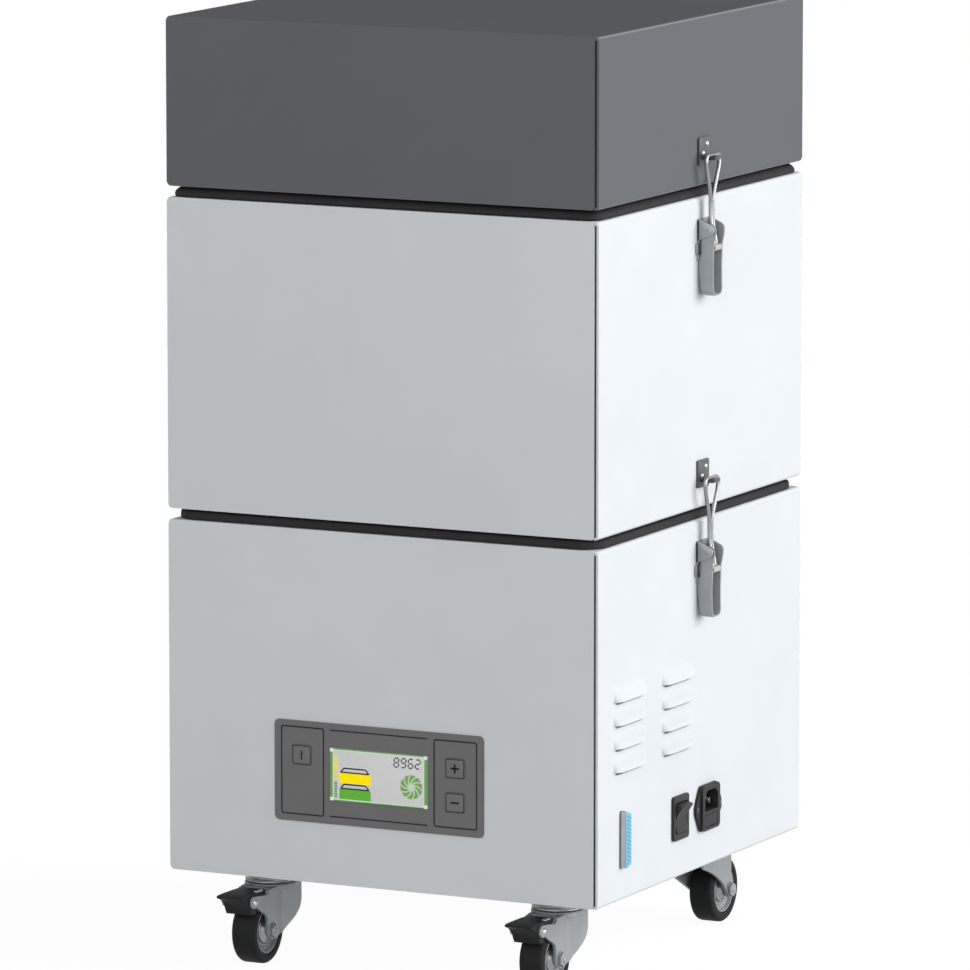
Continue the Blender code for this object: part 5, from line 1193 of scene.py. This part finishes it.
FILM_FRONT = panel_low.y
FILM_BACK = GAP / 2 - CASE_HALF - GAP
FILM_CORNER = 0.0034
INK = 0.00005
film_middle, film_half = face_of("control_panel", "front")
film = plate(rounded(*film_half, FILM_CORNER, film_middle, 8), FILM_FRONT, FILM_BACK, "front", 0.0008)
panel = new_piece("panel_membrane", film, film_grey)
window_low, window_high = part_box("display_window")
opening = box_mesh(
    (window_low.x - GAP, FILM_FRONT - OVERRUN, window_low.z - GAP),
    (window_high.x + GAP, FILM_BACK + OVERRUN, window_high.z + GAP),
)
combine(panel, opening)
KEY_CORNER = 0.0019
KEY_RING = (0.0003, 0.0009)
KEY_STROKES = {
    "power": ((0.00055, 0.0035),),
    "plus": ((0.0035, 0.00075), (0.00075, 0.0035)),
    "minus": ((0.0035, 0.00075),),
}
for key in KEY_STROKES:
    middle, half = face_of(f"{key}_button", "front")
    hole = grown(half, KEY_CORNER, GAP, middle, 6)
    combine(panel, prism(hole, FILM_FRONT - OVERRUN, FILM_BACK + OVERRUN, "front"))
ride(settle(panel), "cabinet", "panel_grey", "control_panel")
FILM_FLANGE = 0.0064
KEY_ROOM = 0.0034
TRAY_CORNER = 0.0010
tray_outer, tray_inner = (
    rounded(film_half[0] - inset, film_half[1] - inset, TRAY_CORNER, film_middle)
    for inset in (FILM_FLANGE, FILM_FLANGE * 1.3)
)
tray = ring_plate(tray_outer, tray_inner, FILM_BACK, panel_high.y, "front")
board = plate(tray_outer, window_high.y + KEY_ROOM, panel_high.y, "front")
tray = new_piece("panel_tray", merged(tray, board), film_grey)
ride(tray, "cabinet", "panel_grey")

for key, strokes in KEY_STROKES.items():
    node, body = f"{key}_button", f"{key}_key"
    low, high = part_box(node)
    middle, half = face_of(node, "front")
    dome = plate(rounded(*half, KEY_CORNER, middle, 6), low.y, high.y, "front", 0.0004)
    ride(new_piece(f"{body}_dome", dome, key_grey), body, "panel_grey", node)
    outer, inner = (grown(half, KEY_CORNER, -inset, middle) for inset in KEY_RING)
    marks = [ring_plate(outer, inner, low.y - INK, low.y + INK * 6, "front")]
    for across, up in strokes:
        shape = rounded(across, up, min(across, up) * 0.6, middle, 3)
        marks.append(plate(shape, low.y - INK * 2, low.y + INK, "front"))
    ride(new_piece(f"{body}_mark", merged(*marks), dark_ink, 60.0), body, "panel_grey")


LINE = 0.0011
LINE_CORNER = 0.0014


def frame_line(low, high):
    """A printed line round a field, by two corners above the bottom edge of the base."""
    middle = ((low[0] + high[0]) / 2, base_bottom + (low[1] + high[1]) / 2)
    half = ((high[0] - low[0]) / 2, (high[1] - low[1]) / 2)
    outer, inner = (grown(half, LINE_CORNER, by, middle) for by in (LINE / 2, -LINE / 2))
    return ring_plate(outer, inner, FILM_FRONT - INK, FILM_FRONT + INK, "front")


def block(left, low, right, high):
    """The outline of an upright rectangle."""
    return [(left, low), (right, low), (right, high), (left, high)]


def lifted(points):
    """An outline given above the bottom edge of the base, at its real level."""
    return [(x, base_bottom + z) for x, z in points]


lines = [
    frame_line((-0.0811, 0.0504), (-0.0467, 0.1151)),
    frame_line((0.0438, 0.0507), (0.0782, 0.1146)),
]
for low, high in ((0.1142, 0.1152), (0.0503, 0.0513)):
    bar = lifted(block(-0.0414, low, 0.0383, high))
    lines.append(prism(bar, FILM_FRONT - INK, FILM_FRONT + INK, "front"))
ride(new_piece("panel_lines", merged(*lines), dark_ink, 60.0), "cabinet", "panel_grey")


# Display
# The lit window of the panel: a pale field in a green frame, with a gauge at the left, two
# stacked filter boxes with handles, a counter of four digits and a turning fan.
glass = printed("display_field", (0.590, 0.588, 0.592), 0.24, 0.30)
leaf = printed("display_leaf", (0.175, 0.350, 0.100), 0.25)
frame_green = printed("display_frame", (0.150, 0.320, 0.100), 0.22)
box_green = printed("display_green", (0.115, 0.400, 0.045), 0.28)
box_yellow = printed("display_yellow", (0.920, 0.720, 0.003), 0.33)
gauge_yellow = printed("display_amber", (0.800, 0.660, 0.200), 0.22)
leaf_gap = printed("display_leaf_gap", (0.480, 0.620, 0.430), 0.25)
pale_green = printed("display_pale", (0.520, 0.740, 0.470), 0.25)
corner_white = printed("display_corner", (0.720, 0.760, 0.710), 0.25)
counter_ink = printed("counter_ink", (0.100, 0.100, 0.102))
box_ink = printed("outline_ink", (0.036, 0.036, 0.040))
stripe_green = printed("display_stripe", (0.060, 0.190, 0.090), 0.10)

face = box_mesh(window_low, window_high, 0.0003, 2)
ride(new_piece("display_face", face, glass), "cabinet", "display_film", "display_window")
left, right = window_low.x, window_high.x
BAR = 0.0022
CORNER = (0.0029, 0.0026)
HANDLE_LINE = 0.00105
low_edge, high_edge = window_low.z - base_bottom, window_high.z - base_bottom


def on_display(name, shapes, ink, layer=1):
    """One colour of the picture, as thin plates that lie on the window."""
    front, back = window_low.y - INK * layer, window_low.y + INK
    made = [prism(lifted(points), front, back, "front") for points in shapes]
    ride(new_piece(f"display_{name}", merged(*made), ink, 60.0), "cabinet", "display_film")


on_display(
    "frame_bars",
    [
        block(left, 0.0649, left + BAR, 0.0999),
        block(right - 0.0024, 0.0649, right, 0.0999),
        block(left + BAR, high_edge - 0.0007, right - BAR, high_edge),
        block(left + BAR, low_edge, right - BAR, low_edge + 0.0007),
    ],
    frame_green,
)
on_display(
    "frame_edges",
    [
        block(left + BAR, 0.0640, left + 0.0031, 0.1005),
        block(right - 0.0031, 0.0640, right - 0.0024, 0.1005),
        block(left + 0.0031, high_edge - 0.0015, right - 0.0031, high_edge - 0.0007),
        block(left + 0.0031, low_edge + 0.0007, right - 0.0031, low_edge + 0.0015),
        block(-0.0353, 0.0650, -0.0344, 0.1004),
    ],
    pale_green,
)
on_display(
    "corners",
    [
        block(x, z, x + CORNER[0], z + CORNER[1])
        for x in (left, right - CORNER[0])
        for z in (low_edge, high_edge - CORNER[1])
    ],
    corner_white,
    2,
)
on_display("gauge", [block(-0.0381, 0.0784, -0.0354, 0.0955)], gauge_yellow)
on_display(
    "gauge_stripes",
    [
        block(-0.0379 + 0.0004 * (k % 2), 0.0655 + 0.0012 * k, -0.0354, 0.0662 + 0.0012 * k)
        for k in range(10)
    ],
    stripe_green,
)
on_display("upper_box", [block(-0.0336, 0.0764, -0.0079, 0.0839)], box_yellow)
on_display("lower_box", [block(-0.0336, 0.0645, -0.0079, 0.0720)], box_green)


def handle_lines(low):
    """The carrying handle over a filter box: a low trapezoid drawn with a thick line."""
    corners = [(-0.0325, low), (-0.0299, low + 0.0031), (-0.0123, low + 0.0031), (-0.0094, low)]
    return [strip_outline([a, b], HANDLE_LINE) for a, b in zip(corners, corners[1:] + corners[:1])]


on_display("handles", handle_lines(0.0843) + handle_lines(0.0724), box_ink, 2)

SEGMENTS = {"8": "abcdefg", "9": "abcdfg", "6": "acdefg", "2": "abdeg"}
DIGIT = (0.0037, 0.0066)
STROKE = 0.00110
LEAN = 0.07


def digit_shapes(digit, left, low):
    """The lit segments of one digit, leaning a little to the right."""
    wide, high = DIGIT
    half = high / 2
    level = {"a": high, "g": half, "d": 0.0}
    upright = {"b": (wide, half), "c": (wide, 0.0), "e": (0.0, 0.0), "f": (0.0, half)}
    t = STROKE / 2
    shapes = []
    for key in SEGMENTS[digit]:
        if key in level:
            z = level[key]
            shape = [(t / 2, z), (t * 1.5, z + t), (wide - t * 1.5, z + t)]
            shape += [(wide - t / 2, z), (wide - t * 1.5, z - t), (t * 1.5, z - t)]
        else:
            x, z = upright[key]
            top = z + half
            shape = [(x, z + t / 2), (x + t, z + t * 1.5), (x + t, top - t * 1.5)]
            shape += [(x, top - t / 2), (x - t, top - t * 1.5), (x - t, z + t * 1.5)]
        shapes.append([(left + x + z * LEAN, low + z) for x, z in shape])
    return shapes


counter = []
for place, digit in enumerate("8962"):
    counter += digit_shapes(digit, 0.0110 + 0.0058 * place, 0.0918)
on_display("counter", counter, counter_ink)

FAN_BLADES = 10
FAN_MIDDLE = (0.0252, 0.0778)
FAN_INSIDE = 0.0030
FAN_OUTSIDE = 0.0092
FAN_SWIRL = radians(-46.0)
FAN_GAP = 0.0013


def fan_blade(turn):
    """A swept blade between the eye and the rim of the fan picture."""
    leading, trailing = [], []
    for i in range(9):
        share = i / 8
        reach = FAN_INSIDE + (FAN_OUTSIDE - FAN_INSIDE) * share
        sweep = turn + FAN_SWIRL * share**0.8
        wide = 2 * pi / FAN_BLADES - FAN_GAP / reach
        for side, edge in ((leading, sweep + wide), (trailing, sweep)):
            trim = reach if side is leading else min(reach, FAN_OUTSIDE * 0.97)
            x, z = trim * cos(edge), trim * sin(edge)
            side.append((FAN_MIDDLE[0] + x, FAN_MIDDLE[1] + z))
    return leading + trailing[::-1]


fan_disc = arc(FAN_MIDDLE, FAN_OUTSIDE - 0.0003, 0, 350, 35)
on_display("fan_disc", [fan_disc], leaf_gap)
on_display("fan_eye", [arc(FAN_MIDDLE, FAN_INSIDE - 0.0006, 0, 345, 23)], glass, 2)
on_display("fan", [fan_blade(2 * pi * k / FAN_BLADES) for k in range(FAN_BLADES)], leaf, 2)


# Mains switch
# A snap-in rocker switch of black moulded plastic: a frame against the side sheet, and a
# dished rocker on a pin, which leans out at the top.
black_satin = moulded("switch_black", (0.034, 0.034, 0.035), 0.42, 0.06, 800.0)
frame_low, frame_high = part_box("switch_frame")
switch_middle, switch_half = face_of("switch_frame", "side")
FRAME_WALL = 0.0030
FRAME_ENDS = 0.0048
well_half = switch_half[0] - FRAME_WALL, switch_half[1] - FRAME_ENDS
well_edge = rounded(*well_half, 0.0006, switch_middle)
bezel = plate(
    rounded(*switch_half, 0.0018, switch_middle), CASE_HALF + GAP, frame_high.x, "side", 0.0004
)
switch = new_piece("switch_bezel", bezel, black_satin)
combine(switch, prism(well_edge, CASE_HALF - OVERRUN, frame_high.x + OVERRUN, "side"))
switch_rim = rounded(well_half[0] + FRAME_WALL / 2, well_half[1] + FRAME_WALL / 2, 0.001, switch_middle)
can = ring_plate(switch_rim, well_edge, frame_low.x, CASE_HALF + GAP * 2, "side")
can_floor = plate(well_edge, frame_low.x, frame_low.x + FRAME_WALL, "side")
ride(settle(switch), "cabinet", "black_plastic", "switch_frame")
ride(new_piece("switch_can", merged(can, can_floor), black_satin), "cabinet", "black_plastic")

ROCKER_TURN = radians(12.0)
ROCKER_DISH = 0.0010
ROCKER_HORN = 0.0042
rocker_half = well_half[0] - GAP * 2, well_half[1] - GAP * 2
lift = sqrt(rocker_half[1] ** 2 - ROCKER_HORN**2)
shares = [1.0 - i / 8 for i in range(17)]
horn = ROCKER_HORN - ROCKER_DISH
dish = [(ROCKER_DISH + horn * abs(share) ** 1.5, lift * share) for share in shares]
back = [(0.0, -rocker_half[1]), (-0.0036, -rocker_half[1] * 0.9), (-0.0110, -rocker_half[1] * 0.35)]
back += [(x, -z) for x, z in back[::-1]]
rocker_shape = plate(dish + back, -rocker_half[0], rocker_half[0], "front", 0.0004)
rocker_seat = (frame_high.x - 0.0010, *switch_middle)
rocker_turn = Matrix.Rotation(ROCKER_TURN, 4, "Y")
rocker = new_piece("switch_key", shifted(rocker_shape, rocker_seat, rocker_turn), black_satin)
ride(rocker, "rocker", "black_plastic", "switch_rocker")


# Mains inlet
# A three-pin appliance inlet on a flange with two screwed ears. Below the socket is a drawer
# that holds the fuse.
inlet_low, inlet_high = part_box("mains_inlet")
inlet_middle, _ = face_of("mains_inlet", "side")
black_deep = moulded("inlet_black", (0.030, 0.030, 0.031), 0.46, 0.06, 800.0)
pin_nickel = plated_steel("pin_nickel_plate", (0.560, 0.550, 0.520), 0.28)
EAR_REACH = 0.0220
INLET_HALF = (0.0155, 0.01725)
BODY_HALF = (0.0149, 0.0167)
BACK_HALF = (0.0140, 0.0156)
FLANGE_OUT = 0.0025
ear = [(EAR_REACH - 0.0004, -0.0030), (EAR_REACH, -0.0012), (EAR_REACH, 0.0012)]
ear += [(EAR_REACH - 0.0004, 0.0030), (INLET_HALF[0] + 0.0012, 0.0128)]
ear += [(INLET_HALF[0], 0.0144), (INLET_HALF[0] - 0.0012, 0.0160)]
ear += [(INLET_HALF[0] - 0.0030, INLET_HALF[1])]
flange_edge = ear + [(-y, z) for y, z in ear[::-1]]
flange_edge += [(-y, -z) for y, z in ear[3:]] + [(y, -z) for y, z in ear[:2:-1]]
flange_edge = [(inlet_middle[0] + y, inlet_middle[1] + z) for y, z in flange_edge]
flange = plate(flange_edge, CASE_HALF + GAP, CASE_HALF + FLANGE_OUT, "side", 0.0006)
face_out = inlet_high.x
body_edge = rounded(*BODY_HALF, 0.0026, inlet_middle, 6)
body = plate(body_edge, CASE_HALF + 0.0010, face_out, "side", 0.0006)
inlet = new_piece("inlet_body", body, black_deep)
combine(inlet, flange, "UNION")
can = prism(rounded(*BACK_HALF, 0.0020, inlet_middle), inlet_low.x, CASE_HALF + 0.0015, "side")
combine(inlet, can, "UNION")
SOCKET_RAISE = 0.0054
SOCKET_HALF = (0.0112, 0.00775)
SOCKET_SLOPE = 0.0042
SOCKET_DEPTH = 0.0160
PIN_SHORT = 0.0050
PIN_PLACES = ((-0.0070, -0.0020), (0.0, 0.0020), (0.0070, -0.0020))
socket_level = inlet_middle[1] + SOCKET_RAISE
wide, high = SOCKET_HALF
flat, shoulder = wide - SOCKET_SLOPE, high - SOCKET_SLOPE
socket_edge = [(-wide, -high), (wide, -high), (wide, shoulder)]
socket_edge += [(flat, high), (-flat, high), (-wide, shoulder)]
socket_edge = [(inlet_middle[0] + y, socket_level + z) for y, z in socket_edge]
socket_floor = face_out - SOCKET_DEPTH
combine(inlet, prism(socket_edge, socket_floor, face_out + OVERRUN, "side"))
fuse_low, fuse_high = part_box("fuse_drawer")
combine(
    inlet,
    box_mesh(
        (fuse_low.x - GAP, fuse_low.y - GAP, fuse_low.z - GAP),
        (face_out + OVERRUN, fuse_high.y + GAP, fuse_high.z + GAP),
    ),
)
ride(settle(inlet), "cabinet", "black_plastic", "mains_inlet")
pins = []
for y, z in PIN_PLACES:
    blade = rounded(0.0010, 0.0020, 0.0003, (inlet_middle[0] + y, socket_level + z), 3)
    pins.append(plate(blade, socket_floor - GAP, face_out - PIN_SHORT, "side", 0.0003))
ride(new_piece("inlet_pins", merged(*pins), pin_nickel), "cabinet", "nickel_wire")
EAR_SCREW = 0.0188
CONE = [(0.0, 0.0004), (0.0012, 0.0004), (0.0021, 0.0001), (0.0021, -0.0010), (0.0, -0.0010)]
heads = []
for aside in (-EAR_SCREW, EAR_SCREW):
    place = (CASE_HALF + FLANGE_OUT, inlet_middle[0] + aside, inlet_middle[1])
    heads.append(shifted(lathe(CONE, 28), place, OUTWARDS))
screw_black = plated_steel("screw_black_oxide", (0.110, 0.110, 0.114), 0.34)
ride(new_piece("inlet_screws", merged(*heads), screw_black), "cabinet", "nickel_wire")
FINGER_GROOVE = (0.0006, 0.0070, 0.0010)
groove_deep, groove_aside, groove_high = FINGER_GROOVE
groove = box_mesh(
    (fuse_high.x - groove_deep, fuse_low.y + groove_aside, fuse_low.z - OVERRUN),
    (fuse_high.x + OVERRUN, fuse_high.y - groove_aside, fuse_low.z + groove_high),
)
drawer = new_piece("fuse_holder_drawer", box_mesh(fuse_low, fuse_high, 0.0004, 2), black_deep)
combine(drawer, groove)
ride(settle(drawer), "fuse_holder", "black_plastic", "fuse_drawer")


# Signal connector
# A tall D-shaped connector with a pressed steel shell and a blue insert, which has two
# staggered columns of contacts.
shell_low, shell_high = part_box("signal_connector")
shell_middle, shell_half = face_of("signal_connector", "side")
SHELL_WALL = 0.0003
SHELL_BACK = 0.0010
SLANT = 0.0012


def shell_edge(inset):
    """A tall D: the rear side is a little shorter than the front one."""
    wide, high = shell_half[0] - inset, shell_half[1] - inset
    corner = 0.0020 - inset * 0.6
    points = []
    for across, up, turn in ((1, 1, 0), (-1, 1, 90), (-1, -1, 180), (1, -1, 270)):
        top = high - (SLANT if across > 0 else 0.0)
        middle = (across * (wide - corner), up * (top - corner))
        points += arc(middle, corner, turn, turn + 90, 6)
    return [(shell_middle[0] + y, shell_middle[1] + z) for y, z in points]


shell_steel = plated_steel("connector_nickel_plate", (0.470, 0.480, 0.489), 0.36, 900.0, 0.55)
insert_blue = printed("insert_blue", (0.235, 0.500, 0.680), 0.0, 0.38)
contact_blue = printed("contact_blue", (0.024, 0.150, 0.330), 0.0, 0.38)
# Painted shadow: a thin dark rim round the shell, standing a little proud of the side sheet, stands for
# the shade where the shell meets the wall.
gasket_black = moulded("gasket_black", (0.070, 0.070, 0.072), 0.60)
shadow_rim = plate(shell_edge(-0.0005), CASE_HALF - SHEET / 2, CASE_HALF + 0.0007, "side", 0.0002)
ride(new_piece("connector_shadow_rim", shadow_rim, gasket_black), "cabinet", "black_rubber")
shell_front = shell_high.x - SHELL_BACK
shell = plate(shell_edge(0.0), shell_low.x, shell_front, "side", 0.0003)
ride(new_piece("connector_shell", shell, shell_steel), "cabinet", "connector_shell", "signal_connector")
insert = plate(shell_edge(SHELL_WALL), shell_front - GAP, shell_high.x - INK, "side", 0.0003)
ride(new_piece("connector_insert", insert, insert_blue), "cabinet", "connector_shell")
CONTACT_PITCH = 0.0029
CONTACT_ASIDE = 0.0016
CONTACT = [(0.0, INK), (0.00082, INK), (0.00086, 0.0), (0.00086, -GAP), (0.0, -GAP)]
contacts = []
for column, count in ((-CONTACT_ASIDE, 13), (CONTACT_ASIDE, 12)):
    for k in range(count):
        rise = (k - (count - 1) / 2) * CONTACT_PITCH
        place = (shell_high.x - INK, shell_middle[0] + column, shell_middle[1] + rise)
        contacts.append(shifted(lathe(CONTACT, 16), place, OUTWARDS))
ride(new_piece("connector_contacts", merged(*contacts), contact_blue), "cabinet", "connector_shell")


# Hose socket
# A moulded collar through the back of the lid, where the clean air leaves. A bead near its
# mouth keeps a pushed-on hose in place.
BORE = 0.0375
COLLAR = 0.0400
FLANGE_RADIUS = (hose_high.x - hose_low.x) / 2
reach_out = hose_high.y - CASE_HALF
collar = [
    (BORE + 0.0006, reach_out),
    (COLLAR - 0.0010, reach_out),
    (COLLAR - 0.0002, reach_out - 0.0008),
    (COLLAR - 0.0002, reach_out - 0.0022),
    (COLLAR + 0.0006, reach_out - 0.0032),
    (COLLAR + 0.0006, reach_out - 0.0042),
    (COLLAR - 0.0001, reach_out - 0.0052),
    (COLLAR, GAP + 0.0042),
    (COLLAR + 0.0012, GAP + 0.0030),
    (FLANGE_RADIUS - 0.0014, GAP + 0.0028),
    (FLANGE_RADIUS - 0.0004, GAP + 0.0022),
    (FLANGE_RADIUS, GAP + 0.0012),
    (FLANGE_RADIUS, GAP), (COLLAR, GAP),
    (COLLAR, hose_low.y - CASE_HALF),
    (BORE, hose_low.y - CASE_HALF),
    (BORE, reach_out - 0.0006),
]
hose_place = (0.0, CASE_HALF, hose_level)
collar = shifted(lathe(collar, 96, closed=True), hose_place, SIDEWAYS)
ride(new_piece("hose_collar", collar, black_deep), "cabinet", "black_plastic", "hose_socket")
COLLAR_SCREW = [(0.0, 0.0012), (0.0012, 0.0011), (0.0022, 0.0006), (0.0025, 0.0)]
COLLAR_SCREW += [(0.0025, -0.0010), (0.0, -0.0010)]
screws = []
for k in range(4):
    angle = pi / 4 + k * pi / 2
    reach = (FLANGE_RADIUS + COLLAR) / 2 + GAP
    place = (reach * cos(angle), CASE_HALF + GAP + 0.0028, hose_level + reach * sin(angle))
    screws.append(shifted(lathe(COLLAR_SCREW, 28), place, SIDEWAYS))
ride(new_piece("hose_collar_screws", merged(*screws), screw_nickel), "cabinet", "nickel_wire")


# Seals
# Two frames of soft black rubber between the modules. They bulge out to near the walls, and set
# back at the top they leave a dark groove under the next module. Both are matt and dusty.
def seal_ring(name, node, half, corner, profile):
    """A rubber frame: its outer profile, by inset and share of its height, and a flat inside."""
    low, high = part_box(node)
    rows = []
    for inset, share in (*profile, (SEAL_WIDTH, 1.0), (SEAL_WIDTH, 0.0), profile[0]):
        level = low.z + (high.z - low.z) * share
        edge = rounded(half - inset, half - inset, max(corner - inset, 0.0008), (0.0, 0.0), 12)
        rows.append([(x, y, level) for x, y in edge])
    ring = welded(sheet_of(rows, closed=True))
    ride(new_piece(name, ring, seal_rubber, 50.0), "cabinet", "black_rubber", node)


SEAL_WIDTH = 0.0130
FULL_SEAL = ((0.0008, 0.0), (0.0002, 0.08), (0.0, 0.18), (0.0001, 0.34), (0.0007, 0.50))
FULL_SEAL += ((0.0016, 0.64), (0.0028, 0.76), (0.0038, 0.84), (0.0075, 0.87), (0.0080, 1.0))
FLAT_SEAL = ((0.0006, 0.0), (0.0001, 0.08), (0.0, 0.16), (0.0002, 0.62), (0.0008, 0.72))
FLAT_SEAL += ((0.0016, 0.79), (0.0055, 0.83), (0.0060, 1.0))
seal_rubber = moulded("seal_rubber", (0.026, 0.026, 0.028), 0.68, 0.14, 260.0, 0.00005)
seal_ring("upper_gasket", "upper_seal", 0.1732, 0.0100, FULL_SEAL)
seal_ring("lower_gasket", "lower_seal", 0.1730, 0.0180, FLAT_SEAL)


# Works of the machine
# Inside the cabinet, and seen only through the slots and the hose socket: a steel floor and
# blower plate, a scroll with its impeller and motor, a card-framed filter and a fleece mat.
def dress(node, stuff):
    """Gives a CAD node that stays in view its finish."""
    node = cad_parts[node]
    for place in range(len(node.material_slots)):
        node.material_slots[place].material = stuff
    if not node.material_slots:
        node.data.materials.append(stuff)


zinc_sheet = plated_steel("zinc_sheet", (0.450, 0.465, 0.475), 0.40, 300.0)
cast_metal = plated_steel("cast_aluminium", (0.500, 0.505, 0.510), 0.52, 500.0)
wheel_black = moulded("impeller_nylon", (0.040, 0.040, 0.042), 0.45)
card = moulded("filter_card", (0.560, 0.535, 0.470), 0.85, 0.08, 300.0, 0.0001)
fleece = moulded("filter_fleece", (0.700, 0.710, 0.700), 0.95, 0.06, 650.0, 0.0004)
dress("base_floor", zinc_sheet)
dress("blower_plate", zinc_sheet)
dress("blower_scroll", zinc_sheet)
dress("blower_motor", cast_metal)
dress("impeller", wheel_black)
dress("filter_cassette", card)
dress("prefilter_mat", fleece)
